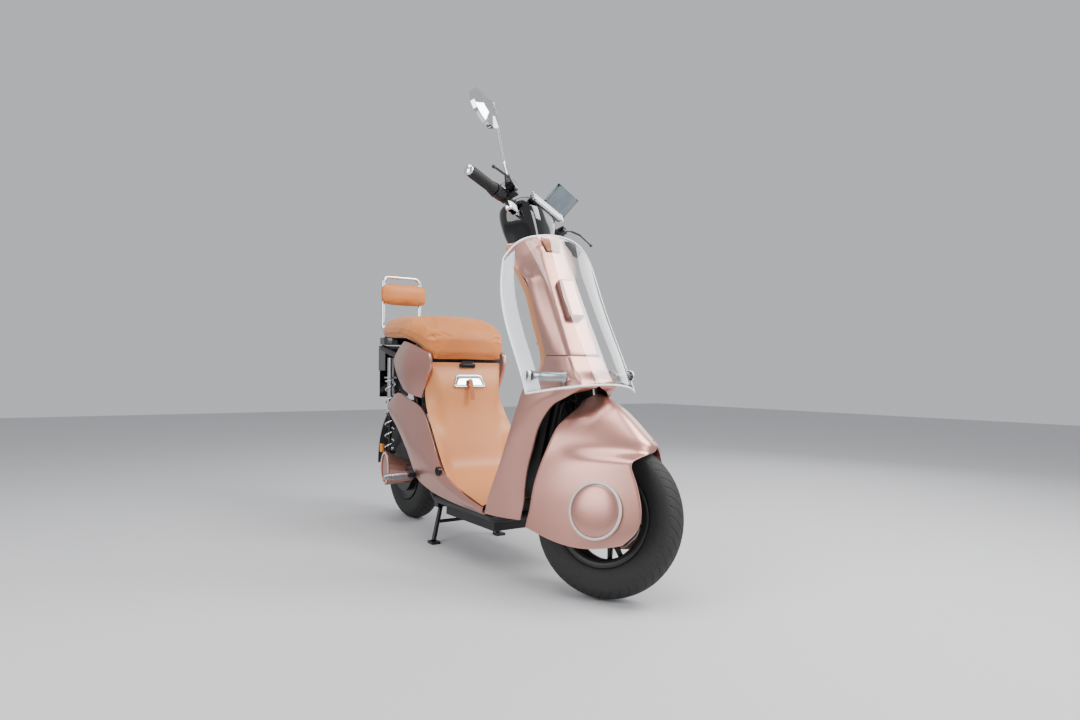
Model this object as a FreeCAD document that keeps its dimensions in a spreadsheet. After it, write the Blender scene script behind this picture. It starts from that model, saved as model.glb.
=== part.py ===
"""Electric moped scooter as a parametric document, millimetres.

Every sub-part is modelled either in the vehicle frame (origin on the ground under the rear axle, X forward,
Y to the vehicle's left, Z up) or in the fork frame (origin on the steering axis beside the front axle, Z up
the raked steering axis). Its Placement then brings it to the shared frame, with the front end turned left.
"""
import FreeCAD, Part
import Sketcher
import math
import os

V = FreeCAD.Vector
Rotation = FreeCAD.Rotation
Placement = FreeCAD.Placement

DIMENSIONS = {
    "wheelRadius": 205, "tyreWidth": 85, "rimRadius": 127, "wheelBase": 1243, "rakeAngle": 25,
    "forkOffset": 22.3, "steerTurn": 28.66, "originBack": 580.6,
    "stanchionSpan": 62, "stanchionRadius": 12, "sliderRadius": 16, "crownRise": 232, "crownThick": 20,
    "steererRadius": 14, "headTubeRadius": 23, "headTubeLow": 335, "headTubeHigh": 800,
    "axleRadius": 7, "barForward": 32.3, "barRise": 949.7, "barRadius": 11, "gripRadius": 16.5,
    "gripInner": 215, "gripOuter": 330, "panelSkin": 3,
    "pivotForward": 373, "pivotHeight": 235, "railRadius": 13, "discRadius": 80, "discThick": 4,
    "runGap": 0.05, "batteryLong": 300, "batteryWide": 170, "batteryTall": 76,
    "standPivotX": 424, "standPivotZ": 126, "pegLength": 88, "pegRadius": 11, "mirrorRadius": 60,
    "lampHalf": 80, "glassThick": 3.5, "hoopRadius": 8, "controllerLong": 50, "controllerWide": 120,
    "controllerTall": 110, "storageLong": 225, "storageWide": 170, "storageTall": 225,
}

doc = FreeCAD.newDocument("MopedScooter")
sheet = doc.addObject("Spreadsheet::Sheet", "Dims")
nodes = []


def fill_sheet():
    """Write each driving dimension as a plain number with an alias."""
    for row, (alias, value) in enumerate(DIMENSIONS.items(), start=1):
        sheet.set("A%d" % row, alias)
        sheet.set("B%d" % row, str(value))
        sheet.setAlias("B%d" % row, alias)
    doc.recompute()


def num(alias):
    """A driving dimension as a number."""
    return float(getattr(sheet, alias))


fill_sheet()
SKIN = num("panelSkin")
RAKE = math.radians(num("rakeAngle"))
AXIS_FOOT = V(num("wheelBase") - num("forkOffset") * math.cos(RAKE), 0,
              num("wheelRadius") - num("forkOffset") * math.sin(RAKE))
SHIFT = V(-num("originBack"), 0, 0)
BODY = Placement(SHIFT, Rotation())
FORK = Placement(SHIFT + AXIS_FOOT, Rotation(V(0, 1, 0), -num("rakeAngle")))
FORK = FORK.multiply(Placement(V(), Rotation(V(0, 0, 1), num("steerTurn"))))
LATERAL = Rotation(V(1, 0, 0), -90)


# ---- helpers -------------------------------------------------------------------------------------------
def keep(obj, label, place=None):
    """Give a finished sub-part its label, which is its node name, and its place."""
    obj.Label = label
    if place is not None:
        obj.Placement = place
    nodes.append(obj)
    return obj


def keep_shape(label, shape, place):
    """A sub-part whose shape is set here in code."""
    obj = doc.addObject("Part::Feature", label)
    obj.Shape = shape
    return keep(obj, label, place)


def bind(obj, sizes):
    """Bind each property to an expression over the sheet, or set a plain number."""
    for name, value in sizes.items():
        if isinstance(value, str):
            obj.setExpression(name, value)
        else:
            setattr(obj, name, value)


def cylinder(name, radius, height, base=V(), turn=Rotation()):
    """A Part::Cylinder from its base centre, along local Z."""
    obj = doc.addObject("Part::Cylinder", name)
    bind(obj, {"Radius": radius, "Height": height})
    obj.Placement = Placement(base, turn)
    return obj


def box(name, length, width, height, corner=V(), turn=Rotation()):
    """A Part::Box from its low corner."""
    obj = doc.addObject("Part::Box", name)
    bind(obj, {"Length": length, "Width": width, "Height": height})
    obj.Placement = Placement(corner, turn)
    return obj


def cut(name, base, tool):
    """A Part::Cut of two objects."""
    obj = doc.addObject("Part::Cut", name)
    obj.Base = base
    obj.Tool = tool
    return obj


def group(name, members):
    """Separate or joined solids of one sub-part."""
    obj = doc.addObject("Part::Compound", name)
    obj.Links = members
    return obj


def sketch_on(body, name, plane):
    """An empty sketch on one of the body's own origin planes."""
    sketch = body.newObject("Sketcher::SketchObject", name)
    face = [item for item in body.Origin.OriginFeatures if item.Role == plane][0]
    sketch.AttachmentSupport = [(face, "")]
    sketch.MapMode = "FlatFace"
    return sketch


def outline(sketch, points):
    """A closed polygon whose corners are fixed; an aliased corner value follows the sheet."""
    corners = [[num(c[0]) * c[1] + c[2] if isinstance(c, tuple) else c for c in p] for p in points]
    count = len(corners)
    for i in range(count):
        a = corners[i]
        b = corners[(i + 1) % count]
        sketch.addGeometry(Part.LineSegment(V(a[0], a[1], 0), V(b[0], b[1], 0)), False)
    for i in range(count):
        sketch.addConstraint(Sketcher.Constraint("Coincident", i, 2, (i + 1) % count, 1))
        for kind, value, source in (("DistanceX", corners[i][0], points[i][0]),
                                    ("DistanceY", corners[i][1], points[i][1])):
            index = sketch.addConstraint(Sketcher.Constraint(kind, -1, 1, i, 1, value))
            if isinstance(source, tuple):
                text = "Dims.%s * %g + %g" % source
                sketch.setExpression("Constraints[%d]" % index, text)


def revolved(name, points):
    """A PartDesign body turned about local Z from a (radius, z) outline."""
    body = doc.addObject("PartDesign::Body", name)
    sketch = sketch_on(body, name + "Sketch", "XZ_Plane")
    outline(sketch, points)
    turn = body.newObject("PartDesign::Revolution", name + "Turn")
    turn.Profile = sketch
    turn.ReferenceAxis = (sketch, ["V_Axis"])
    turn.Angle = 360
    return body


def padded(name, points, length):
    """A PartDesign body raised along local Z from an outline in its XY plane."""
    body = doc.addObject("PartDesign::Body", name)
    sketch = sketch_on(body, name + "Sketch", "XY_Plane")
    outline(sketch, points)
    pad = body.newObject("PartDesign::Pad", name + "Pad")
    pad.Profile = sketch
    bind(pad, {"Length": length})
    return body


def facets(loops):
    """A closed solid from planar triangles and quads given as point lists."""
    faces = []
    for loop in loops:
        faces.append(Part.Face(Part.makePolygon(loop + [loop[0]])))
    solid = Part.Solid(Part.Shell(faces))
    if solid.Volume < 0:
        solid.reverse()
    return solid


def quad(a, b, c, d):
    """Two triangles for one cell of a grid."""
    loops = []
    for tri in ([a, b, c], [a, c, d]):
        if (tri[1] - tri[0]).cross(tri[2] - tri[0]).Length > 1e-6:
            loops.append(tri)
    return loops


def sheet_solid(outer, inner):
    """A panel between two grids of points, closed along its four borders."""
    rows = len(outer)
    cols = len(outer[0])
    loops = []
    for i in range(rows - 1):
        for j in range(cols - 1):
            loops += quad(outer[i][j], outer[i][j + 1], outer[i + 1][j + 1], outer[i + 1][j])
            loops += quad(inner[i][j], inner[i + 1][j], inner[i + 1][j + 1], inner[i][j + 1])
    for i in range(rows - 1):
        loops += quad(outer[i][0], outer[i + 1][0], inner[i + 1][0], inner[i][0])
        loops += quad(outer[i + 1][-1], outer[i][-1], inner[i][-1], inner[i + 1][-1])
    for j in range(cols - 1):
        loops += quad(outer[0][j + 1], outer[0][j], inner[0][j], inner[0][j + 1])
        loops += quad(outer[-1][j], outer[-1][j + 1], inner[-1][j + 1], inner[-1][j])
    return facets(loops)


def ring_solid(rings):
    """A closed solid through rings of points, with a fan at each end."""
    loops = []
    count = len(rings[0])
    for low, high in zip(rings, rings[1:]):
        for j in range(count):
            k = (j + 1) % count
            loops += quad(low[j], low[k], high[k], high[j])
    for ring in (rings[0], rings[-1]):
        middle = V()
        for point in ring:
            middle = middle + point
        middle = middle * (1.0 / count)
        for j in range(count):
            loops.append([middle, ring[j], ring[(j + 1) % count]])
    return facets(loops)


def bent_tube(points, radius, bend):
    """A round tube along straight runs joined by tangent arcs of one bend radius."""
    edges = []
    start = points[0]
    for before, corner, after in zip(points, points[1:], points[2:]):
        back = (before - corner).normalize()
        ahead = (after - corner).normalize()
        half = math.acos(max(-1, min(1, back.dot(ahead)))) / 2
        reach = bend / math.tan(half)
        middle = (back + ahead).normalize() * (bend / math.sin(half) - bend)
        first = corner + back * reach
        last = corner + ahead * reach
        edges.append(Part.LineSegment(start, first).toShape())
        edges.append(Part.Arc(first, corner + middle, last).toShape())
        start = last
    edges.append(Part.LineSegment(start, points[-1]).toShape())
    along = points[1] - points[0]
    circle = Part.Wire(Part.makeCircle(radius, points[0], along))
    return Part.Wire(edges).makePipeShell([circle], True, False)


def rod(start, end, radius):
    """A straight round bar between two points."""
    return Part.makeCylinder(radius, (end - start).Length, start, end - start)


def mirrored(shape):
    """The same shape on the other side of the centre plane."""
    return shape.mirror(V(), V(0, 1, 0))


def flip(points):
    """A list of points on the other side of the centre plane."""
    return [V(p.x, -p.y, p.z) for p in points]


# ---- wheels --------------------------------------------------------------------------------------------
def tyre(name):
    """Tyre carcass: flat tread, rounded shoulders and beads on the rim."""
    half = ("tyreWidth", 0.5, 0)
    low = ("tyreWidth", -0.5, 0)
    rim = ("rimRadius", 1, 0)
    crown = ("wheelRadius", 1, 0)
    return revolved(name, [
        [rim, -28], [("rimRadius", 1, 16), -35], [("rimRadius", 1, 42), low], [("wheelRadius", 1, -20),
                                                                               -39],
        [("wheelRadius", 1, -6), -26], [crown, -12], [crown, 12], [("wheelRadius", 1, -6), 26],
        [("wheelRadius", 1, -20), 39], [("rimRadius", 1, 42), half], [("rimRadius", 1, 16), 35], [rim,
                                                                                                  28]])


def wheels():
    """Both tyres, the cast front wheel and the hub-motor rear wheel."""
    front = V(num("forkOffset"), 0, 0)
    rear = V(0, 0, num("wheelRadius"))
    front_place = FORK.multiply(Placement(front, LATERAL))
    rear_place = BODY.multiply(Placement(rear, LATERAL))
    keep(tyre("frontTyre"), "front_tyre", front_place)
    keep(tyre("rearTyre"), "rear_tyre", rear_place)
    bore = ("axleRadius", 1, num("runGap"))
    rim = ("rimRadius", 1, 0)
    keep(revolved("rearHub", [
        [bore, -50], [95, -50], [95, -30], [116, -30], [rim, -38], [rim, 38], [116, 30], [95, 30], [95,
                                                                                                    50],
        [bore, 50], [bore, 45], [88, 45], [88, -45], [bore, -45]]), "rear_hub_motor", rear_place)
    spokes = []
    for turn in range(5):
        arm = Part.makeBox(94, 16, 34, V(20, -8, -17))
        arm.rotate(V(), V(0, 0, 1), 72 * turn)
        spokes.append(arm)
    rim_ring = Part.makeCylinder(num("rimRadius"), 72, V(0, 0, -36))
    rim_ring = rim_ring.cut(Part.makeCylinder(112, 80, V(0, 0, -40)))
    hub = Part.makeCylinder(26, 68.4, V(0, 0, -32))
    wheel = hub.fuse([rim_ring] + spokes)
    wheel = wheel.cut(Part.makeCylinder(num("axleRadius") + num("runGap"), 80, V(0, 0, -40)))
    keep_shape("front_rim", Part.makeCompound([wheel.removeSplitter(), brake_disc()]), front_place)


def brake_disc():
    """Drilled disc on the left end of the front hub, in the wheel's own frame."""
    body = doc.addObject("PartDesign::Body", "brakeDisc")
    sketch = sketch_on(body, "discSketch", "XY_Plane")
    for index, (radius, text) in enumerate(((num("discRadius"), "Dims.discRadius"), (15, None))):
        sketch.addGeometry(Part.Circle(V(), V(0, 0, 1), radius), False)
        sketch.addConstraint(Sketcher.Constraint("Coincident", index, 3, -1, 1))
        number = sketch.addConstraint(Sketcher.Constraint("Radius", index, radius))
        if text:
            sketch.setExpression("Constraints[%d]" % number, text)
    pad = body.newObject("PartDesign::Pad", "discPad")
    pad.Profile = sketch
    bind(pad, {"Length": "Dims.discThick"})
    doc.recompute()
    holes = sketch_on(body, "holeSketch", "XY_Plane")
    holes.addGeometry(Part.Circle(V(66, 0, 0), V(0, 0, 1), 4), False)
    pocket = body.newObject("PartDesign::Pocket", "discHole")
    pocket.Profile = holes
    pocket.Type = 1
    pocket.Midplane = True
    doc.recompute()
    pattern = body.newObject("PartDesign::PolarPattern", "discHoles")
    pattern.Originals = [pocket]
    pattern.Axis = (sketch, ["N_Axis"])
    pattern.Angle = 360
    pattern.Occurrences = 12
    body.Tip = pattern
    body.Placement = Placement(V(0, 0, 36.4), Rotation())
    doc.recompute()
    return body.Shape


# ---- fork and steering ---------------------------------------------------------------------------------
def fork():
    """Crown, steerer, stanchions, sliders, axle and caliper."""
    ahead = num("forkOffset")
    span = num("stanchionSpan")
    low = num("crownRise")
    thick = num("crownThick")
    holes = [Part.makeCylinder(num("stanchionRadius"), 60, V(ahead, side * span,
                                                             low - 10)) for side in (-1, 1)]
    crown = Part.makeBox(66, 152, thick, V(-30, -76, low)).cut(holes)
    stay = rod(V(0, -85.5, low + 10), V(0, 85.5, low + 10), 5).cut(Part.makeBox(90, 150, 40,
                                                                                V(-45, -75, low)))
    top = num("barRise") - 21.7
    steerer = Part.makeCylinder(num("steererRadius"), top - low - thick, V(0, 0, low + thick))
    clamp = Part.makeBox(66, 56, 40, V(-18, -28, top))
    bore = Part.makeCylinder(num("barRadius"), 80, V(num("barForward"), -40, num("barRise")), V(0, 1, 0))
    stem = crown.fuse([steerer, stay, clamp.cut(bore)]).removeSplitter()
    legs = [Part.makeCylinder(num("stanchionRadius"), low + thick - 100, V(ahead, side * span, 100))
            for side in (-1, 1)]
    keep_shape("steering_stem", Part.makeCompound([stem] + legs), FORK)
    sliders = []
    for side in (-1, 1):
        leg = Part.makeCylinder(num("sliderRadius"), 235, V(ahead, side * span, -25))
        leg = leg.cut(Part.makeCylinder(num("stanchionRadius") + num("runGap"), 200,
                                        V(ahead, side * span, 60)))
        leg = leg.cut(Part.makeCylinder(num("axleRadius"), 60, V(ahead, side * span - 30, 0), V(0, 1, 0)))
        sliders.append(leg)
    axle = Part.makeCylinder(num("axleRadius"), 180, V(ahead, -90, 0), V(0, 1, 0))
    caliper = Part.makeBox(32, 12, 40, V(ahead - 92, 32, 14))
    slot = Part.makeCylinder(num("discRadius") + 3, num("discThick") + 2, V(ahead, 35.4, 0), V(0, 1, 0))
    foot = Part.makeBox(66, 4, 22, V(ahead - 80, 43, 22))
    leg_hole = Part.makeCylinder(num("sliderRadius") + 0.3, 200, V(ahead, span, -20))
    caliper = caliper.cut(slot).fuse(foot).cut(leg_hole)
    keep_shape("fork_lowers", Part.makeCompound(sliders + [axle, caliper]), FORK)


MASK_BACK = [(-167, 25), (-155, 45), (-143, 62), (-127, 95), (-110, 127), (-85, 163), (-59, 197),
             (-38, 225),
             (-17, 253), (12, 275), (43, 295), (55, 318)]
MASK_FRONT = [(85, -94), (135, -73), (158, -35), (165, 5), (167, 46), (164, 88), (188, 104), (212, 125),
              (197, 167), (165, 238), (138, 282), (100, 323)]
MASK_HALF = [106, 108, 109, 110, 110, 109, 105, 99, 90, 75, 52, 30]
MASK_CLOSE = [0, 0, 0, 0, 0, 0, 0.35, 1, 1, 1, 1, 1]


def mask_row(index, inset):
    """One row of the right half of the mask, from its back edge to its front edge or ridge."""
    back = MASK_BACK[index]
    front = MASK_FRONT[index]
    closing = MASK_CLOSE[index]
    half = MASK_HALF[index] - inset
    sag = -28 * (index == 0) - 14 * (index == 1)
    row = []
    for step in range(9):
        u = step / 8.0
        turn = math.pi * u / 2
        open_side = half + 10 * math.sin(math.pi * u)
        shut_side = half * max(0.0, math.cos(turn)) ** 0.7
        side = open_side * (1 - closing) + shut_side * closing
        if closing == 1 and step == 8:
            side = 0
        along = u * (1 - closing) + math.sin(turn) * closing
        reach = back[0] + (front[0] - inset * closing - back[0]) * along
        rise = back[1] + (front[1] - inset * closing - back[1]) * along + sag * math.sin(math.pi * u)
        row.append(V(reach, -side, rise))
    return row


def front_mask():
    """The painted shell that wraps the wheel's top and both sides down to the axle."""
    outer = [mask_row(i, 0) for i in range(len(MASK_BACK))]
    inner = [mask_row(i, SKIN) for i in range(len(MASK_BACK))]
    right = sheet_solid(outer, inner)
    centre = V(45, 0, 5)
    caps = []
    rings = []
    for side in (-1, 1):
        base = centre + V(0, side * 119, 0)
        away = V(0, side, 0)
        dome = Part.makeCylinder(66, 4, base, away).fuse(Part.makeCone(66, 40, 9, base + away * 4, away))
        caps.append(dome.removeSplitter())
        rings.append(Part.makeCylinder(71, 7, base, away).cut(Part.makeCylinder(66, 8, base, away)))
    shell = right.fuse([mirrored(right)] + caps)
    keep_shape("front_mask", Part.makeCompound([shell] + [ring.cut(shell) for ring in rings]), FORK)


def superellipse(centre, a, b, rise, power=3.0, count=20):
    """A rounded-rectangle ring at one height."""
    ring = []
    for step in range(count):
        angle = 2 * math.pi * (step + 0.5) / count
        c = math.cos(angle)
        s = math.sin(angle)
        x = math.copysign(abs(c) ** (2 / power), c)
        y = math.copysign(abs(s) ** (2 / power), s)
        ring.append(V(centre + a * x, b * y, rise))
    return ring


DISPLAY_PIN = V(70, 83, 992)


def cowl():
    """Black handlebar cowl: a hollow inverted trapezoid, open below, with holes for the bar."""
    levels = [(5, 53, 50, 830), (12, 64, 72, 880), (18, 72, 96, 930), (20, 70, 98, 955), (20, 60, 90, 976)]
    outer = ring_solid([superellipse(*level) for level in levels])
    inner = ring_solid([superellipse(c, a - SKIN, b - SKIN, min(s, 976 - SKIN) - (s == 830))
                        for c, a, b, s in levels])
    bar = Part.makeCylinder(num("barRadius") + 1, 240, V(num("barForward"), -120, num("barRise")),
                            V(0, 1, 0))
    arm = rod(V(46, 83, 968), V(70, 83, 992), 5.5).fuse(rod(DISPLAY_PIN + V(0, -8, 0),
                                                            DISPLAY_PIN + V(0, 8, 0), 6))
    pin = rod(DISPLAY_PIN + V(0, -22, 0), DISPLAY_PIN + V(0, 22, 0), 4)
    arm = arm.fuse(pin).removeSplitter().cut(outer)
    keep_shape("cowl", Part.makeCompound([outer.cut(inner).cut(bar), arm]), FORK)


def handlebar():
    """Bar and grips."""
    ahead = num("barForward")
    rise = num("barRise")
    radius = num("barRadius")
    inner = num("gripInner")
    outer = num("gripOuter")
    keep(cylinder("barTube", "Dims.barRadius", "Dims.gripOuter * 2"), "handlebar",
         FORK.multiply(Placement(V(ahead, -outer, rise), LATERAL)))
    sizes = (("throttle_grip", -outer, num("runGap")), ("left_grip", inner, 0))
    for label, start, gap in sizes:
        tube = cut(label + "Cut", cylinder(label + "Tube", "Dims.gripRadius",
                                           "Dims.gripOuter - Dims.gripInner"),
                   cylinder(label + "Bore", radius + gap, "Dims.gripOuter - Dims.gripInner"))
        keep(tube, label, FORK.multiply(Placement(V(ahead, start, rise), LATERAL)))


def bar_ends():
    """Chrome plugs at both ends of the handlebar."""
    foot = V(num("barForward"), num("gripOuter"), num("barRise"))
    plug = Part.makeCylinder(num("gripRadius") - 1.5, 8, foot, V(0, 1, 0))
    return [plug, mirrored(plug)]


def switch_housings():
    """A drum with a button recess beside each grip."""
    ahead = num("barForward")
    rise = num("barRise")
    radius = num("barRadius")
    drums = []
    for side in (-1, 1):
        drum = Part.makeCylinder(20, 40, V(ahead, side * 210, rise), V(0, -side, 0))
        hole = Part.makeCylinder(radius, 60, V(ahead, side * 220, rise), V(0, -side, 0))
        recess = Part.makeBox(14, 30, 12, V(ahead - 25, side * 190 - 15, rise - 6))
        drums.append(drum.cut(hole).cut(recess))
    return drums


MIRROR_FOOT = V(71, -183, 958)


def levers():
    """Brake perches with the fluid reservoir, and the two levers."""
    ahead = num("barForward")
    rise = num("barRise")
    radius = num("barRadius")
    perches = []
    for side in (-1, 1):
        ring = Part.makeCylinder(18, 22, V(ahead, side * 166, rise), V(0, side, 0))
        ring = ring.translated(V(0, -side * 24, 0))
        arm = Part.makeBox(34, 20, 22, V(ahead + 8, side * 153 - 10, rise - 11))
        hole = Part.makeCylinder(radius, 60, V(ahead, side * 153 - 30, rise), V(0, 1, 0))
        slot = Part.makeBox(22, 30, 9, V(ahead + 22, side * 153 - 15, rise - 4.5))
        body = ring.fuse(arm).cut([hole, slot])
        pin = Part.makeCylinder(3, 22, V(ahead + 34, side * 153, rise - 11))
        body = body.fuse(pin)
        if side < 0:
            tank = Part.makeBox(40, 30, 26, V(ahead + 2, -166, rise + radius + 0.5))
            boot = Part.makeCone(13, 8, 30, MIRROR_FOOT, V(0, 0, 1))
            bridge = Part.makeBox(22, 23, 9.5, MIRROR_FOOT + V(-16, 0, -3.5))
            body = body.fuse([tank, boot, bridge])
        perches.append(body.removeSplitter())
    controls = perches + switch_housings()
    keep_shape("bar_controls", Part.makeCompound(controls), FORK)
    for label, side in (("brake_lever_right", -1), ("brake_lever_left", 1)):
        pivot = V(ahead + 34, side * 153, rise)
        eye = Part.makeCylinder(6.5, 7, pivot - V(0, 0, 3.5))
        path = [pivot, pivot + V(16, side * 24, 0), pivot + V(28, side * 70, -3),
                pivot + V(27, side * 150, -8)]
        blade = bent_tube(path, 3.4, 18)
        knob = Part.makeSphere(6, path[-1])
        hole = Part.makeCylinder(3.05, 12, pivot - V(0, 0, 6))
        keep_shape(label, eye.fuse([blade, knob]).cut(hole), FORK)


def small_controls():
    """Buttons that travel in the switch housings."""
    ahead = num("barForward")
    rise = num("barRise")
    for label, side in (("start_button", -1), ("horn_button", 1)):
        corner = V(ahead - 22, side * 190 - 5, rise - 5)
        keep(box(label, 8.5, 10, 10), label, FORK.multiply(Placement(corner, Rotation())))


def lamps():
    """Headlight bar with chrome ends, and the two framed turn signals on stalks."""
    half = num("lampHalf")
    lens = Part.makeBox(7, half * 2, 24, V(91.5, -half, 940))
    trims = [Part.makeBox(10, 10, 28, V(90, side * (half + 5.3) - 5, 938)) for side in (-1, 1)]
    backs = []
    lenses = []
    for side in (-1, 1):
        frame = Part.makeBox(22, 44, 32, V(32, side * 150 - 22, 892))
        frame = frame.cut(Part.makeBox(6, 36, 24, V(49, side * 150 - 18, 896)))
        stalk = Part.makeCylinder(6, 38, V(36, side * 92, 908), V(0, side, 0))
        backs.append(frame.fuse(stalk))
        lenses.append(Part.makeBox(6, 36, 24, V(49, side * 150 - 18, 896)))
    keep_shape("chrome_trims", Part.makeCompound(backs + trims + bar_ends()), FORK)
    keep_shape("lamp_lenses", Part.makeCompound(lenses + [lens]), FORK)


def mirror():
    """Right mirror: clamped boot, bent stalk, housing and glass."""
    foot = MIRROR_FOOT
    path = [foot + V(0, 0, 30.3), foot + V(0, 0, 78), V(134, -292, 1150), V(139, -322, 1128)]
    keep_shape("mirror_stalk", bent_tube(path, 4.5, 16), FORK)
    centre = V(124, -350, 1089)
    radius = num("mirrorRadius")
    shell = Part.makeCylinder(radius, 12, centre, V(1, 0, 0))
    shell = shell.fuse(Part.makeCone(radius, 30, 10, centre + V(12, 0, 0), V(1, 0, 0)))
    bite = rod(path[2], path[3], 5.0)
    keep_shape("mirror_housing", shell.cut(Part.makeCylinder(radius - 3, 4, centre,
                                                             V(1, 0, 0))).cut(bite), FORK)
    keep_shape("mirror_glass", Part.makeCylinder(radius - 3, 3, centre, V(1, 0, 0)), FORK)


def display():
    """Flat display panel on a tilting arm ahead of the cowl."""
    place = Placement(V(110, 96, 1012), Rotation(V(0, 1, 0), -26))
    foot = place.inverse().multVec(DISPLAY_PIN)
    solids = [Part.makeBox(76, 126, 8, V(-38, -63, 0))]
    for side in (-1, 1):
        start = foot + V(0, side * 15.5 - 5.5, 0)
        solids.append(Part.makeCylinder(6.5, 11, start, V(0, 1, 0)))
        solids.append(Part.makeBox(10, 11, 5, start + V(0, 0, 1)))
    hole = Part.makeCylinder(4.05, 80, foot - V(0, 40, 0), V(0, 1, 0))
    panel = solids[0].fuse(solids[1:]).cut(hole)
    panel.Placement = place
    keep_shape("display_panel", panel.removeSplitter(), FORK)


# ---- body panels ---------------------------------------------------------------------------------------
def band(points, inset):
    """A full-width row from right-hand points, each moved towards the inside by an inset vector."""
    right = [p + shift for p, shift in zip(points, inset)]
    left = flip(right[:-1])[::-1] if abs(right[-1].y) < 1e-6 else flip(right)[::-1]
    return right + left


def top_cut(shape, level):
    """Trim a column piece square to the steering axis."""
    block = Part.makeBox(600, 600, 300, V(-300, -300, level))
    block.Placement = Placement(AXIS_FOOT, Rotation(V(0, 1, 0), -num("rakeAngle")))
    return shape.cut(block)


def leg_shield_upper():
    """Tall tapering column cover with creased front and small wings at its top."""
    levels = [(631, 1079, 82, 1152, 57), (735, 1040, 85, 1097, 54), (812, 1005, 86, 1057, 52),
              (850, 985, 88, 1037, 51), (872, 972, 105, 1025, 50), (925, 940, 118, 998, 49),
              (1010, 892, 112, 953, 47)]
    outer = []
    inner = []
    for z, edge_x, edge_y, crease_x, crease_y in levels:
        row = [V(edge_x, -edge_y, z), V(crease_x, -crease_y, z), V(crease_x + 5, 0, z)]
        outer.append(band(row, [V()] * 3))
        inner.append(band(row, [V(-1.5, SKIN, 0), V(-SKIN, 2, 0), V(-SKIN, 0, 0)]))
    keep_shape("leg_shield_upper", top_cut(sheet_solid(outer, inner), 820), BODY)


LEG_LEVELS = [(549, 1038, 120, 1214, 60), (525, 1031, 130, 1186, 70), (500, 1026, 136, 1138, 87),
              (470, 1018, 142, 1106, 95), (430, 1006, 149, 1080, 101), (380, 987, 154, 1060, 103),
              (320, 959, 158, 1041, 109), (270, 930, 160, 1032, 112), (228, 905, 160, 1029, 115),
              (172, 876, 158, 1018, 121)]


def leg_points(level, bulge):
    """Edge, bulged middle and inner edge of one side of the lower leg shield."""
    z, edge_x, edge_y, crease_x, crease_y = level
    edge = V(edge_x, -edge_y, z)
    crease = V(crease_x, -crease_y, z)
    along = (crease - edge).normalize()
    away = V(-along.y, along.x, 0) * -1
    return [edge, (edge + crease) * 0.5 + away * bulge, crease], away


def leg_shield_lower():
    """Lower column collar and the two legs that sweep down and out to the sills."""
    collar = [(629, 1079, 82, 1154, 57), (590, 1068, 90, 1180, 58), LEG_LEVELS[0]]
    outer = []
    inner = []
    for index, level in enumerate(collar):
        row, away = leg_points(level, 4.0 * index)
        row.append(V(level[3] + 3, 0, level[0]))
        back = away * -SKIN
        outer.append(band(row, [V()] * 4))
        inner.append(band(row, [back, back, back + V(-1, 0, 0), V(-SKIN, 0, 0)]))
    shape = sheet_solid(outer, inner)
    outer = []
    inner = []
    for level in LEG_LEVELS:
        row, away = leg_points(level, 8.0)
        outer.append(row)
        inner.append([p - away * SKIN for p in row])
    leg = sheet_solid(outer, inner)
    shield = shape.fuse([leg, mirrored(leg)])
    keep_shape("leg_shield_lower", shield, BODY)
    return shield


def leg_shield_inner():
    """Tan rider-side cover that closes the column and the legs."""
    levels = [(990, 900, 108, 880, 104, 835, 70, 812), (925, 937, 113, 915, 108, 868, 72, 845),
              (872, 968, 100, 940, 92, 893, 64, 870), (812, 1002, 84, 975, 82, 930, 58, 903),
              (735, 1037, 82, 1012, 80, 964, 58, 936), (632, 1076, 79, 1062, 78, 1010, 58, 982),
              (590, 1065, 86, 1055, 84, 1010, 62, 985), (549, 1035, 117, 1024, 112, 995, 75, 978),
              (470, 1015, 139, 1004, 134, 975, 85, 960), (380, 984, 151, 973, 146, 948, 95, 935),
              (300, 945, 156, 934, 151, 915, 100, 905), (236, 906, 157, 895, 152, 885, 105, 880),
              (206, 890, 157, 882, 152, 876, 105, 873)]
    outer = []
    inner = []
    for z, x0, y0, x1, y1, x2, y2, x3 in levels:
        row = [V(x0, -y0, z), V(x1, -y1, z), V(x2, -y2, z), V(x3, 0, z)]
        outer.append(band(row, [V()] * 4))
        inner.append(band(row, [V(0, SKIN, 0), V(2, 2.5, 0), V(2.4, 1.8, 0), V(SKIN, 0, 0)]))
    cover = top_cut(sheet_solid(outer, inner), 820)
    ears = [Part.makeBox(12, 4, 12, V(932, side * 11 - 2, 702)) for side in (-1, 1)]
    pin = rod(V(936, -13, 708), V(936, 13, 708), 2.5)
    bezel = rod(V(842, 0, 900), V(858, 0, 900), 13).cut(rod(V(840, 0, 900), V(858, 0, 900), 9.4))
    block = Part.makeBox(8, 26, 24, V(941.5, -13, 696))
    keep_shape("leg_shield_inner", cover.fuse([block, pin, bezel] + ears), BODY)


def floor_tub():
    """Tan floorboard that climbs as a riser to the seat, with side chamfers."""
    levels = [(866, 158, 193, 866, 120, 206), (750, 158, 216, 750, 118, 218),
              (625, 156, 252, 600, 112, 232),
              (572, 155, 310, 545, 104, 266), (521, 154, 372, 514, 102, 345), (458, 152, 450, 486, 100,
                                                                               450),
              (425, 146, 520, 474, 120, 540), (446, 141, 600, 456, 131, 598)]
    shifts = [V(0, 0, -SKIN)] * 3 + [V(-2, 0, -2)] + [V(-SKIN, 0, 0)] * 4
    outer = []
    inner = []
    for (x0, y0, z0, x1, y1, z1), shift in zip(levels, shifts):
        row = [V(x0, -y0, z0), V(x1, -y1, z1)]
        outer.append(band(row, [V()] * 2))
        inner.append(band(row, [shift] * 2))
    keep_shape("floor_tub", sheet_solid(outer, inner), BODY)


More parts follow.
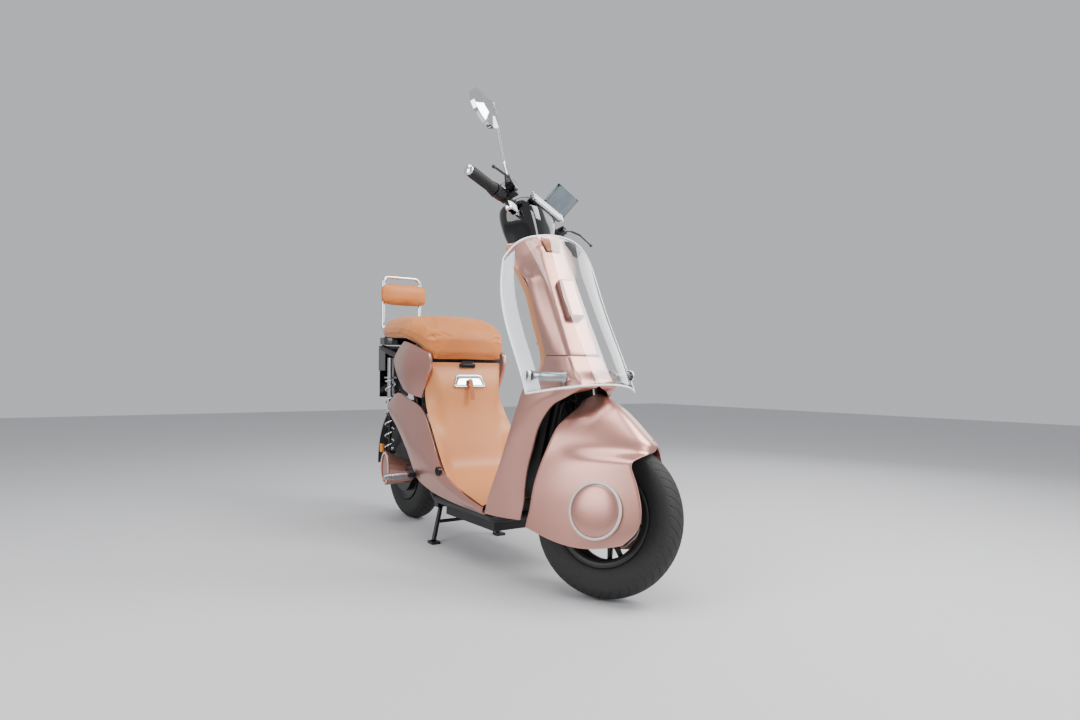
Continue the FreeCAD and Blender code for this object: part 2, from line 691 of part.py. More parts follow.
def side_panels():
    """Upper side boxes under the saddle and the lower side covers with the sills."""
    box_rows = [[(262, 158, 700), (350, 166, 687), (452, 154, 657)],
                [(196, 166, 640), (330, 178, 634), (468, 151, 640)],
                [(190, 168, 625), (325, 180, 619), (469, 151, 607)],
                [(262, 160, 523), (335, 168, 508), (402, 150, 495)]]
    cover_rows = [[(120, 150, 482), (105, 158, 455), (120, 152, 420)],
                  [(205, 156, 508), (200, 170, 440), (225, 164, 375)],
                  [(300, 159, 490), (290, 176, 400), (320, 168, 305)],
                  [(395, 159, 470), (370, 178, 345), (380, 170, 250)],
                  [(452, 159, 438), (440, 178, 310), (430, 168, 212)],
                  [(519, 161, 360), (520, 176, 270), (520, 164, 188)],
                  [(604, 162, 262), (610, 172, 225), (620, 160, 176)],
                  [(750, 163, 211), (750, 168, 190), (750, 155, 168)],
                  [(868, 164, 188), (868, 166, 178), (868, 155, 166)]]
    for label, rows in (("side_box", box_rows), ("side_cover", cover_rows)):
        outer = [[V(x, -y, z) for x, y, z in row] for row in rows]
        inner = [[p + V(0, SKIN, 0) for p in row] for row in outer]
        right = sheet_solid(outer, inner)
        keep_shape(label + "_right", right, BODY)
        keep_shape(label + "_left", mirrored(right), BODY)
    return right


def column_details():
    """Raised box, tan patch, windshield and its posts."""
    face = Rotation(V(0, 1, 0), 90 - 27.6)
    raised = doc.addObject("Part::Box", "raisedBox")
    bind(raised, {"Length": 128, "Width": 52, "Height": 20})
    doc.recompute()
    rounded = doc.addObject("Part::Fillet", "raisedFillet")
    rounded.Base = raised
    upright = [i + 1 for i, e in enumerate(raised.Shape.Edges)
               if abs(e.tangentAt(e.FirstParameter).z) > 0.9 or e.CenterOfMass.z > 19]
    rounded.Edges = [(i, 9.0, 9.0) for i in upright]
    keep(rounded, "column_box", BODY.multiply(Placement(V(1046, -26, 843), face)))
    patch = padded("columnPatch", [[0, -32], [0, 32], [44, 23], [44, -23]], 2)
    keep(patch, "column_patch", BODY.multiply(Placement(V(977.4, 0, 975), face)))


def glass_point(y_unit, level, inset):
    """A point of the windshield: parabolic wrap, raked, widest and most wrapped near mid height."""
    low = 529 + 24 * (1 - y_unit ** 2)
    high = 984 - 60 * abs(y_unit) ** 3
    z = low + (high - low) * level
    bulge = math.sin(math.pi * ((z - 529) / 456.0) ** 1.3)
    half = 185 - 46 * (z - 529) / 400.0 + 24 * bulge
    y = half * y_unit
    wrap = 0.00333 - 0.00088 * (z - 529) / 400.0 + 0.00055 * bulge
    return V(1246 - 0.564 * (z - 553) - wrap * y * y - inset, y, z)


def windshield(shield):
    """Clear curved screen ahead of the column, on two posts that stand on the lower shield."""
    thick = num("glassThick")
    units = [-1 + i / 6.0 for i in range(13)]
    levels = [i / 6.0 for i in range(7)]
    outer = [[glass_point(u, level, 0) for u in units] for level in levels]
    inner = [[glass_point(u, level, thick * (1 + 0.6 * abs(u))) for u in units] for level in levels]
    screen = sheet_solid(outer, inner)
    keep_shape("windshield", screen, BODY)
    posts = [rod(V(1168, side * 74, 571), V(1132.5, side * 180, 576), 11).cut([screen, shield])
             for side in (-1, 1)]
    keep_shape("windshield_posts", Part.makeCompound(posts), BODY)


def seat_ring(x, low_half, low, half, mid, top):
    """One crosswise ring of the saddle."""
    ring = [V(x, -low_half, low), V(x, -(low_half + half) / 2 - 5, (low + mid) / 2), V(x, -half, mid),
            V(x, -half * 0.9, mid + (top - mid) * 0.6), V(x, -half * 0.6, top - 6), V(x, -half * 0.25,
                                                                                      top - 1)]
    return ring + flip(ring)[::-1]


def seat():
    """Saddle cushion over its pan, the hinge at its front and the storage box below."""
    levels = [(-75, 92, 745, 104, 765, 783), (-40, 120, 726, 134, 758, 797), (20, 132, 718, 150, 755, 803),
              (140, 150, 712, 172, 752, 800), (260, 158, 708, 188, 745, 793), (350, 138, 676, 190, 735,
                                                                               786),
              (430, 138, 634, 165, 710, 766), (458, 135, 622, 148, 695, 742), (466, 130, 628, 138, 690,
                                                                               725)]
    cushion = ring_solid([seat_ring(*level) for level in levels])
    hollow = Part.makeBox(475, 236, 200, V(-30, -118, 528))
    keep_shape("saddle", cushion.cut(hollow), BODY)
    wall = SKIN
    wide = num("storageWide")
    shell = cut("storageCut", box("storageOuter", "Dims.storageLong", "Dims.storageWide",
                                  "Dims.storageTall"),
                box("storageInner", "Dims.storageLong - 2 * Dims.panelSkin",
                    "Dims.storageWide - 2 * Dims.panelSkin", "Dims.storageTall", V(wall, wall, wall)))
    shell.Placement = Placement(V(205, -wide / 2, 470), Rotation())
    doc.recompute()
    pivot = V(461, 0, 611)
    block = Part.makeBox(20, 50, 3, V(441, -25, 601))
    ears = [Part.makeBox(8, 4, 12, V(457, side * 26 - 2, 603)) for side in (-1, 1)]
    pin = Part.makeCylinder(2.5, 56, pivot - V(0, 28, 0), V(0, 1, 0))
    bridge = Part.makeBox(20, 56, 2.5, V(441, -28, 601))
    hinge = block.fuse(ears + [pin, bridge]).removeSplitter()
    keep_shape("storage_box", Part.makeCompound([shell.Shape, hinge]), BODY)
    sleeve = Part.makeCylinder(5, 44, pivot - V(0, 22, 0), V(0, 1, 0))
    leaf = Part.makeBox(8, 40, 16, V(453, -20, 609))
    hole = Part.makeCylinder(2.55, 60, pivot - V(0, 30, 0), V(0, 1, 0))
    leaf = leaf.cut(cushion.cut(hollow))
    pan = Part.makeBox(470, 232, 6, V(-27, -116, 722))
    leaf = sleeve.fuse(leaf).cut(hole).removeSplitter()
    keep_shape("seat_pan", Part.makeCompound([pan, leaf]), BODY)


def charge_port(cover):
    """Round socket on the right side cover, with a centre pin."""
    face = V(585, -174, 262)
    port = Part.makeCylinder(15, 12, face, V(0, 1, 0)).cut(Part.makeCylinder(11, 2.5, face, V(0, 1, 0)))
    return port.fuse(Part.makeCylinder(4, 4, face, V(0, 1, 0))).cut(cover)


def riser_details():
    """Chrome latch plate and leather strap on the riser."""
    face = Rotation(V(0, 1, 0), 90 - 17.2)
    plate = padded("latchPlate", [[-22, -46], [-22, 46], [-8, 55], [22, 60], [26, 55], [26, -55],
                                  [22, -60],
                                  [-8, -55]], 7)
    plate.Placement = Placement(V(470.5, 0, 556.5), face)
    slot = box("latchSlot", 12, 76, 20, V(475, -38, 545))
    plate_cut = cut("latchCut", plate, slot)
    keep(plate_cut, "latch_plate", BODY)
    run = [V(479.5, 0, 562), V(487, 0, 557), V(492, 0, 540), V(499, 0, 515), V(505, 0, 490)]
    outer = [[p + V(0, side * 7, 0) for side in (-1, 1)] for p in run]
    inner = [[p + V(-2.4, side * 7, -0.6) for side in (-1, 1)] for p in run]
    keep_shape("seat_strap", sheet_solid(outer, inner), BODY)


# ---- frame and rear ------------------------------------------------------------------------------------
def stand_bracket():
    """Cross bolt of the centre stand between two plates."""
    pivot = V(num("standPivotX"), 0, num("standPivotZ"))
    bolt = rod(pivot - V(0, 102, 0), pivot + V(0, 102, 0), 6)
    plates = [Part.makeBox(28, 6, 32, V(414, side * 99 - 3, 116)) for side in (-1, 1)]
    return [bolt] + plates


def main_frame():
    """Underbone frame: head tube, down tube, floor rails, seat rails and cross tubes."""
    span = num("headTubeHigh") - num("headTubeLow")
    head = Part.makeCylinder(num("headTubeRadius"), span, V(0, 0, num("headTubeLow")))
    hollow = Part.makeCylinder(18, span + 2, V(0, 0, num("headTubeLow") - 1))
    turn = Placement(AXIS_FOOT, Rotation(V(0, 1, 0), -num("rakeAngle")))
    head.Placement = turn
    hollow.Placement = turn
    down = [V(1050, 0, 560), V(1015, 0, 470), V(968, 0, 340), V(944, 0, 255), V(902, 0, 162)]
    tubes = [bent_tube(down, 17, 60), head]
    radius = num("railRadius")
    rail = [V(902, -20, 160), V(868, -112, 150), V(450, -112, 150), V(362, -112, 250), V(270, -105, 480),
            V(180, -98, 620), V(-60, -85, 668), V(-150, -80, 686)]
    for side in (rail, flip(rail)):
        tubes.append(bent_tube(side, radius, 40))
    tubes.append(rod(V(900, -30, 160), V(900, 30, 160), radius))
    for x, y, z in ((446, 112, 150), (182, 98, 617), (-60, 85, 668)):
        tubes.append(rod(V(x, -y, z), V(x, y, z), radius - 1))
    for side in (-1, 1):
        tubes.append(rod(V(392, side * 112, 218), V(392, side * 175.5, 228), 9))
    shape = tubes[0].fuse(tubes[1:] + stand_bracket())
    pivot = Part.makeCylinder(8, 270, V(num("pivotForward"), -135, num("pivotHeight")), V(0, 1, 0))
    bolt = Part.makeCylinder(8, 250, V(num("pivotForward"), -125, num("pivotHeight")), V(0, 1, 0))
    rings = []
    for low in (num("headTubeLow"), num("headTubeHigh") - 12):
        ring = Part.makeCylinder(18, 12, V(0, 0, low))
        rings.append(ring.cut(Part.makeCylinder(num("steererRadius") + num("runGap"), 14,
                                                V(0, 0, low - 1))))
    bearings = Part.makeCompound(rings)
    bearings.Placement = turn
    frame = shape.cut([hollow, pivot])
    keep_shape("main_frame", Part.makeCompound([frame, bolt, bearings]), BODY)


def inner_boxes():
    """Battery, controller and belly pan."""
    cells = box("batteryBox", "Dims.batteryLong", "Dims.batteryWide", "Dims.batteryTall", V(500, -85, 105))
    drive = box("controllerBox", "Dims.controllerLong", "Dims.controllerWide", "Dims.controllerTall",
                V(392, -60, 300))
    keep(group("powerPack", [cells, drive]), "battery_and_controller", BODY)
    tray = Part.makeBox(330, 186, 40, V(490, -93, 101))
    tray = tray.cut(Part.makeBox(332, 180, 40, V(485, -90, 104)))
    keep_shape("belly_pan", tray, BODY)


def swingarm():
    """Swingarm on its pivot bolt, with the rear axle, pod, ring and side reflectors."""
    pivot = V(num("pivotForward"), 0, num("pivotHeight"))
    rear = V(0, 0, num("wheelRadius"))
    tubes = [Part.makeCylinder(16, 184, pivot - V(0, 92, 0), V(0, 1, 0))]
    arms = []
    for side in (-1, 1):
        arm = rod(pivot + V(0, side * 78, 0), rear + V(0, side * 76, 0), 13)
        arms.append(arm)
        tubes.append(arm)
        tubes.append(Part.makeCylinder(17, 26, rear + V(0, side * 76 - 13, 0), V(0, 1, 0)))
        tubes.append(rod(rear + V(0, side * 76, 0), V(-138, side * 76, 270), 6))
        tubes.append(Part.makeBox(20, 30, 12, V(-30, side * 98 - 15, 216)))
    tubes.append(rod(V(290, -78, 228), V(290, 78, 228), 11))
    shape = tubes[0].fuse(tubes[1:])
    bore = Part.makeCylinder(8 + num("runGap"), 220, pivot - V(0, 110, 0), V(0, 1, 0))
    axle_hole = Part.makeCylinder(num("axleRadius"), 240, rear - V(0, 120, 0), V(0, 1, 0))
    shape = shape.cut([bore, axle_hole])
    stator = Part.makeCylinder(82, 76, rear - V(0, 38, 0), V(0, 1, 0))
    shaft = Part.makeCylinder(num("axleRadius"), 190, rear - V(0, 95, 0), V(0, 1, 0)).fuse(stator)
    keep_shape("swingarm", Part.makeCompound([shape, shaft]), BODY)
    rings = []
    for x, y, z, a, b in ((92, -56, 197, 30, 40), (85, -80, 201, 34, 46), (58, -146, 212, 44, 66)):
        rings.append([V(x + a * math.cos(t * math.pi / 10), y, z + b * math.sin(t * math.pi / 10))
                      for t in range(20)])
    pod = ring_solid(rings).cut(shape)
    disc = [V(58 + 41 * math.cos(t * math.pi / 12), -146.3, 212 + 62 * math.sin(t * math.pi / 12))
            for t in range(24)]
    hole = [V(58 + 34 * math.cos(t * math.pi / 12), -145, 212 + 55 * math.sin(t * math.pi / 12))
            for t in range(24)]
    outer = ring_solid([disc, [p - V(0, 3, 0) for p in disc]])
    trim = outer.cut(ring_solid([hole, [p - V(0, 8, 0) for p in hole]]))
    pod = max(pod.Solids, key=lambda s: s.Volume)
    keep_shape("swingarm_pod", Part.makeCompound([pod, trim]), BODY)
    amber = [Part.makeBox(30, 8, 34, V(-152, side * 86.3 - 4, 254)) for side in (-1, 1)]
    keep_shape("side_reflectors", Part.makeCompound(amber), BODY)


def shocks():
    """Two upright dampers: body and spring on the frame, rod on the swingarm side."""
    bodies = []
    rods = []
    springs = []
    for side in (-1, 1):
        foot = V(-20, side * 98, 0)
        body = Part.makeCylinder(12, 160, foot + V(0, 0, 482))
        body = body.fuse(Part.makeCylinder(24, 6, foot + V(0, 0, 560)))
        body = body.cut(Part.makeCylinder(6 + num("runGap"), 150, foot + V(0, 0, 480)))
        bodies.append(body)
        rods.append(Part.makeCylinder(6, 360, foot + V(0, 0, 231)).fuse(
            Part.makeCylinder(24, 6, foot + V(0, 0, 262))))
        turns = 7
        helix = Part.makeHelix(284.0 / turns, 284, 18)
        profile = Part.Wire(Part.makeCircle(3, V(18, 0, 0), V(0, 1, 0.2)))
        coil = Part.Wire(helix.Edges).makePipeShell([profile], True, True)
        springs.append(coil.translated(foot + V(0, 0, 272)))
    keep_shape("shock_bodies", Part.makeCompound(bodies), BODY)
    keep_shape("shock_rods", Part.makeCompound(rods), BODY)
    keep_shape("shock_springs", Part.makeCompound(springs), BODY)


def rear_body():
    """Mudguard, tail cover, lamp, plate bracket, pillion seat and backrest."""
    outer = []
    inner = []
    for step in range(10):
        angle = math.radians(-2 + 127 * step / 9.0)
        row_out = []
        row_in = []
        for y, drop in ((-62, 26), (-52, 8), (-28, 1), (0, 0), (28, 1), (52, 8), (62, 26)):
            for row, radius in ((row_out, 270 - drop), (row_in, 267 - drop)):
                row.append(V(-radius * math.cos(angle), y * (1 if row is row_out else 0.95),
                             num("wheelRadius") + radius * math.sin(angle)))
        outer.append(row_out)
        inner.append(row_in)
    keep_shape("rear_mudguard", sheet_solid(outer, inner), BODY)
    tail = Part.makeBox(76, 140, 106, V(-228, -70, 592)).cut(Part.makeBox(80, 134, 110, V(-225, -67, 595)))
    keep(box("tailLens", 8, 96, 34), "tail_light", BODY.multiply(Placement(V(-236.3, -48, 640),
                                                                           Rotation())))
    bracket = Part.makeBox(3, 130, 112, V(-228, -65, 480))
    base = [superellipse(-122, 76, 96, 700.3), superellipse(-122, 76, 96, 728)]
    keep_shape("tail_cover", Part.makeCompound([tail.fuse(bracket), ring_solid(base)]), BODY)
    pad = [superellipse(-131, 45, 66, 728.3), superellipse(-131, 50, 70, 752),
           superellipse(-131, 46, 66, 768),
           superellipse(-131, 34, 52, 776)]
    keep_shape("pillion_pad", ring_solid(pad), BODY)


def backrest():
    """Chrome hoop and the tan back pad."""
    hoop = [V(-100, -85, 728.3), V(-150, -81, 770), V(-150, -81, 985), V(-150, 81, 985), V(-150, 81, 770),
            V(-100, 85, 728.3)]
    tube = bent_tube(hoop, num("hoopRadius"), 26)
    tube = tube.cut(Part.makeBox(200, 300, 30, V(-200, -150, 698.3)))
    keep_shape("backrest_tube", tube, BODY)
    rings = []
    for x, half, low, high in ((-141.5, 92, 873, 947), (-136, 103, 863, 957), (-112, 103, 863, 957),
                               (-104, 90, 875, 945)):
        middle = (low + high) / 2
        ring = superellipse(0, (high - low) / 2, half, 0, 4.5)
        rings.append([V(x, p.y, middle + p.x) for p in ring])
    keep_shape("backrest_pad", ring_solid(rings), BODY)


def centre_stand():
    """Folding centre stand on a cross bolt under the frame."""
    pivot = V(num("standPivotX"), 0, num("standPivotZ"))
    feet = []
    for side in (-1, 1):
        leg = rod(pivot + V(0, side * 80, 0), V(466, side * 128, 10), 8)
        foot = Part.makeBox(40, 30, 9, V(448, side * 128 - 15, 0))
        feet += [leg, foot]
    sleeve = rod(pivot - V(0, 87, 0), pivot + V(0, 87, 0), 13)
    brace = rod(V(444, -103, 68), V(444, 103, 68), 6)
    shape = sleeve.fuse(feet + [brace])
    bore = Part.makeCylinder(6 + num("runGap"), 200, pivot - V(0, 100, 0), V(0, 1, 0))
    below = Part.makeBox(200, 400, 40, V(380, -200, -40))
    keep_shape("centre_stand", shape.cut([bore, below]), BODY)


def footpegs(cover):
    """Folding ribbed pegs on brackets outside the side covers, with the charge port beside them."""
    fittings = [charge_port(cover)]
    for label, side in (("right", -1), ("left", 1)):
        centre = V(392, side * 178, 228)
        bracket = Part.makeBox(34, 4, 30, centre + V(-17, -2 + side * 1.5, -15))
        ears = [Part.makeBox(5, 12, 12, centre + V(x, side * 8 - 6, -6)) for x in (-13, 8)]
        ears += [Part.makeCylinder(6, 5, centre + V(x, side * 14, 0), V(1, 0, 0)) for x in (-13, 8)]
        pin = Part.makeCylinder(3, 26, centre + V(-13, side * 14, 0), V(1, 0, 0))
        fittings.append(bracket.fuse(ears + [pin]).removeSplitter())
        start = centre + V(0, side * 14, 0)
        away = V(0, side, 0)
        long = num("pegLength")
        core = Part.makeCylinder(num("pegRadius") - 2, long - 8, start + away * 8, away)
        ribs = [Part.makeCylinder(num("pegRadius"), 6, start + away * (12 + 9 * i),
                                  away) for i in range(8)]
        knuckle = Part.makeCylinder(6, 15, start - V(7.5, 0, 0), V(1, 0, 0))
        neck = Part.makeBox(12, 10, 8, start + V(-6, side * 5 - 5, -4))
        hole = Part.makeCylinder(3.05, 20, start - V(10, 0, 0), V(1, 0, 0))
        keep_shape("footpeg_" + label, core.fuse(ribs + [knuckle, neck]).cut(hole).removeSplitter(), BODY)
    keep_shape("side_fittings", Part.makeCompound(fittings), BODY)


def shield_details():
    """Power button and folding bag hook on the inner shield."""
    keep(cylinder("powerButton", 9, 8), "power_button",
         BODY.multiply(Placement(V(847.5, 0, 900), Rotation(V(0, 1, 0), -90))))
    arm = Part.makeBox(5, 16, 40, V(933.5, -8, 668)).fuse(Part.makeCylinder(4.6, 16, V(936, -8, 708),
                                                                            V(0, 1, 0)))
    tip = Part.makeBox(18, 16, 5, V(920, -8, 668))
    hole = Part.makeCylinder(2.55, 30, V(936, -15, 708), V(0, 1, 0))
    keep_shape("bag_hook", arm.fuse(tip).cut(hole).removeSplitter(), BODY)


def build():
    """Make every sub-part."""
    wheels()
    fork()
    front_mask()
    cowl()
    handlebar()
    levers()
    small_controls()
    lamps()
    mirror()
    display()
    leg_shield_upper()
    shield = leg_shield_lower()
    leg_shield_inner()
    floor_tub()
    cover = side_panels()
    column_details()
    windshield(shield)
    seat()
    riser_details()
    main_frame()
    inner_boxes()
    swingarm()
    shocks()
    rear_body()
    backrest()
    centre_stand()
    footpegs(cover)
    shield_details()


def check_and_write():
    """Stop on any failed object or bad shape, then write one file per node."""
    doc.recompute()
    bad = [obj.Name for obj in doc.Objects if "Invalid" in obj.State or "Error" in obj.State]
    for obj in nodes:
        if obj.Shape.isNull() or not obj.Shape.isValid() or obj.Shape.Volume <= 0:
            bad.append(obj.Label)
    if bad:
        raise RuntimeError("failed objects: " + ", ".join(bad))
    os.makedirs("parts", exist_ok=True)
    for obj in nodes:
        obj.Shape.exportStep("parts/" + obj.Label + ".step")
    print(len(nodes), "nodes written")


build()
check_and_write()
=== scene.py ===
# %% [markdown]
# # An electric moped scooter
# The scooter is built around a fixed model of its real parts. That model gives every size and every moving
# joint. This script adds what the eye sees: smooth painted panels, soft cushions, tyres with tread, a clear
# screen, and a finish for each part. The first cell loads the fixed model.

# %% Load the fixed model
import math
import bpy
import numpy as np
from mathutils import Matrix, Vector


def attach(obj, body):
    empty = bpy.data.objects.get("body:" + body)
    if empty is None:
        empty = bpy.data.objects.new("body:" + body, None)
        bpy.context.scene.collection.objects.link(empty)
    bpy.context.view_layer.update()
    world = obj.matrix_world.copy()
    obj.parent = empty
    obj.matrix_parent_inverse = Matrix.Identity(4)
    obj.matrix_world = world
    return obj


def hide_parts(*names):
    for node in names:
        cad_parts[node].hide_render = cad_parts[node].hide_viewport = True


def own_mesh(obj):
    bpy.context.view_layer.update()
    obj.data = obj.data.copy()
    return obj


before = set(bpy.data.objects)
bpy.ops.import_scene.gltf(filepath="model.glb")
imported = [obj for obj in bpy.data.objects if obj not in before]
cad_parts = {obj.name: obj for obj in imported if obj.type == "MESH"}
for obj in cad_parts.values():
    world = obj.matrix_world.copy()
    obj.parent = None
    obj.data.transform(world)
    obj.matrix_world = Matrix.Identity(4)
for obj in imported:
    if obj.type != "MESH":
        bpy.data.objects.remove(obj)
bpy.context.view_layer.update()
MM = 0.001
ORIGIN_BACK = 580.6

# %% [markdown]
# ## Camera, floor and light
# A wide lens close to the front wheel gives the strong taper of the view: the wheel is large and the tail is
# small. The camera's turn is built from three directions, which is clearer than three angles. A pale floor
# and large soft lights stand in for a photographer's studio.

# %% Camera
CAMERA_PLACE = (2.1600, -1.1851, 0.5789)
CAMERA_YAW, CAMERA_PITCH, CAMERA_ROLL = np.radians([146.825, 1.147, 0.324])
CAMERA_LENS_MM = 24.09
forward = np.array([math.cos(CAMERA_YAW) * math.cos(CAMERA_PITCH),
                    math.sin(CAMERA_YAW) * math.cos(CAMERA_PITCH), math.sin(CAMERA_PITCH)])
level_right = np.array([math.sin(CAMERA_YAW), -math.cos(CAMERA_YAW), 0.0])
level_up = np.cross(level_right, forward)
right = math.cos(CAMERA_ROLL) * level_right + math.sin(CAMERA_ROLL) * level_up
up = np.cross(right, forward)
camera_data = bpy.data.cameras.new("view_camera")
camera_data.lens = CAMERA_LENS_MM
camera_data.sensor_width = 36.0
camera_data.clip_start = 0.01
camera = bpy.data.objects.new("view_camera", camera_data)
turn = Matrix([list(right) + [0], list(up) + [0], list(-forward) + [0], [0, 0, 0, 1]]).transposed()
camera.matrix_world = Matrix.Translation(CAMERA_PLACE) @ turn
bpy.context.scene.collection.objects.link(camera)
bpy.context.scene.camera = camera
print("camera at", CAMERA_PLACE)


# %% Node helper and colours
def linear(hex_text, alpha=1.0):
    """An sRGB hex colour as linear red, green, blue and alpha."""
    parts = np.array([int(hex_text[i:i + 2], 16) for i in (1, 3, 5)]) / 255.0
    wave = np.where(parts <= 0.04045, parts / 12.92, ((parts + 0.055) / 1.055) ** 2.4)
    return (*wave.tolist(), alpha)


def add(tree, kind, settings=None, links=None):
    """Adds one node, sets its sockets or properties, and links its inputs to other nodes' outputs."""
    node = tree.nodes.new(kind)
    for key, value in (settings or {}).items():
        if isinstance(key, int) or key in node.inputs:
            node.inputs[key].default_value = value
        else:
            setattr(node, key, value)
    for key, source in (links or {}).items():
        tree.links.new(source, node.inputs[key])
    return node


def new_material(name, **sockets):
    """A material whose shader's own sockets hold the values that are the same all over."""
    material = bpy.data.materials.new(name)
    material.use_nodes = True
    tree = material.node_tree
    shader = tree.nodes["Principled BSDF"]
    for key, value in sockets.items():
        shader.inputs[key.replace("_", " ")].default_value = value
    where = add(tree, "ShaderNodeTexCoord").outputs["Object"]
    return material, tree, shader, where


# %% Floor and lights
FLOOR_HALF = 9.0
FLOOR_CORNERS = [(x * FLOOR_HALF, y * FLOOR_HALF, 0) for x, y in ((-1, -1), (1, -1), (1, 1), (-1, 1))]
floor_mesh = bpy.data.meshes.new("studio_floor")
floor_mesh.from_pydata(FLOOR_CORNERS, [], [(0, 1, 2, 3)])
floor = bpy.data.objects.new("studio_floor", floor_mesh)
bpy.context.scene.collection.objects.link(floor)
floor_mesh.materials.append(new_material("studio_floor_paint", Base_Color=linear("#c9c9cb"),
                                         Roughness=0.75)[0])
world = bpy.data.worlds.new("studio_world")
world.use_nodes = True
world.node_tree.nodes["Background"].inputs["Color"].default_value = linear("#e4e6ea")
world.node_tree.nodes["Background"].inputs["Strength"].default_value = 0.72
bpy.context.scene.world = world


def area_light(name, place, target, size, watts):
    """A rectangular soft box at a place, facing a target."""
    data = bpy.data.lights.new(name, "AREA")
    data.shape = "RECTANGLE"
    data.size, data.size_y = size
    data.energy = watts
    light = bpy.data.objects.new(name, data)
    light.rotation_euler = (Vector(place) - Vector(target)).to_track_quat("Z", "Y").to_euler()
    light.location = place
    bpy.context.scene.collection.objects.link(light)


area_light("soft_top", (0.4, -0.4, 3.0), (0, 0, 0.5), (2.2, 1.6), 58)
area_light("soft_right", (0.6, -2.8, 1.7), (0, 0, 0.6), (1.6, 1.8), 44)
area_light("soft_front", (3.4, 0.7, 1.5), (0.4, 0, 0.6), (0.9, 2.0), 52)
area_light("soft_column", (1.5, 1.3, 2.4), (0.5, 0, 0.8), (1.3, 1.3), 70)
area_light("soft_left", (-0.6, 2.8, 1.8), (0, 0, 0.6), (1.6, 1.6), 22)
print("lights ready")

# %% [markdown]
# ## Surfaces from arrays
# A panel starts as a coarse net of points that lies on the real panel. Two array steps make it smooth. One
# carries a curve through the net's rows, and the other rounds each bend across a row with a short parabola,
# so a crease can stay tight or be soft. The finished net becomes a mesh in one call.


# %% Nets of points
def smooth_rows(net, steps):
    """Catmull-Rom along the first axis: each span's cubic passes through its ends, with slopes from the
    neighbours. The end rows repeat their slope."""
    net = np.asarray(net, float)
    pad = np.concatenate([2 * net[:1] - net[1:2], net, 2 * net[-1:] - net[-2:-1]])
    t = (np.arange(steps) / steps).reshape((1, steps) + (1,) * (net.ndim - 1))
    a, b, c, d = (pad[i:len(pad) - 3 + i][:, None] for i in range(4))
    square, cube = 2 * a - 5 * b + 4 * c - d, 3 * b - a - 3 * c + d
    spans = 0.5 * (2 * b + (c - a) * t + square * t ** 2 + cube * t ** 3)
    return np.concatenate([spans.reshape((-1,) + net.shape[1:]), net[-1:]])


def round_bends(net, reach, steps=6):
    """Replaces each inner point of every row by a parabola that leaves and meets the straight runs at a
    distance `reach` from the bend, never past 45 % of a run."""
    net = np.asarray(net, float)
    inner = net[:, 1:-1]
    back, ahead = net[:, :-2] - inner, net[:, 2:] - inner
    reach = np.broadcast_to(np.asarray(reach, float), (inner.shape[1],))[None, :, None]

    def cut(way):
        """A step along one straight run, of the wanted reach or 45 % of the run."""
        run = np.linalg.norm(way, axis=-1, keepdims=True) + 1e-12
        return way / run * np.minimum(reach, 0.45 * run)

    start, end = inner + cut(back), inner + cut(ahead)
    t = np.linspace(0, 1, steps)[None, None, :, None]
    curve = (1 - t) ** 2 * start[:, :, None] + 2 * t * (1 - t) * inner[:, :, None] + t ** 2 * end[:, :, None]
    return np.concatenate([net[:, :1], curve.reshape(len(net), -1, 3), net[:, -1:]], axis=1)


def denser(net, times):
    """Straight extra columns between the columns of every row."""
    t = (np.arange(times) / times)[None, None, :, None]
    spans = net[:, :-1, None] * (1 - t) + net[:, 1:, None] * t
    return np.concatenate([spans.reshape(len(net), -1, 3), net[:, -1:]], axis=1)


def both_sides(row_net):
    """A right-hand half row, ending on the centre plane, continued to the left side."""
    net = np.asarray(row_net, float)
    return np.concatenate([net, net[:, :-1][:, ::-1] * (1, -1, 1)], axis=1)


def mirrored(net):
    """The same net on the left side, with its columns reversed so that it still faces outwards."""
    return np.asarray(net)[:, ::-1] * (1, -1, 1)


# %% Frames of the vehicle and of the fork
STEER_TURN, RAKE = np.radians([28.66, 25.0])
FORK_FOOT = np.array([1222.79 - ORIGIN_BACK, 0.0, 195.58])
fork_up = np.array([-math.sin(RAKE), 0, math.cos(RAKE)])
fork_ahead = (math.cos(STEER_TURN) * np.array([math.cos(RAKE), 0, math.sin(RAKE)])
              + math.sin(STEER_TURN) * np.array([0, 1, 0]))
fork_left = np.cross(fork_up, fork_ahead)
FORK_AXES = np.array([fork_ahead, fork_left, fork_up])


def vehicle(net):
    """Millimetres from under the rear axle to metres in the shared frame."""
    return (np.asarray(net, float) - (ORIGIN_BACK, 0, 0)) * MM


def fork(net):
    """Millimetres ahead, left and up the turned steering axis to metres in the shared frame."""
    return (np.asarray(net, float) @ FORK_AXES + FORK_FOOT) * MM


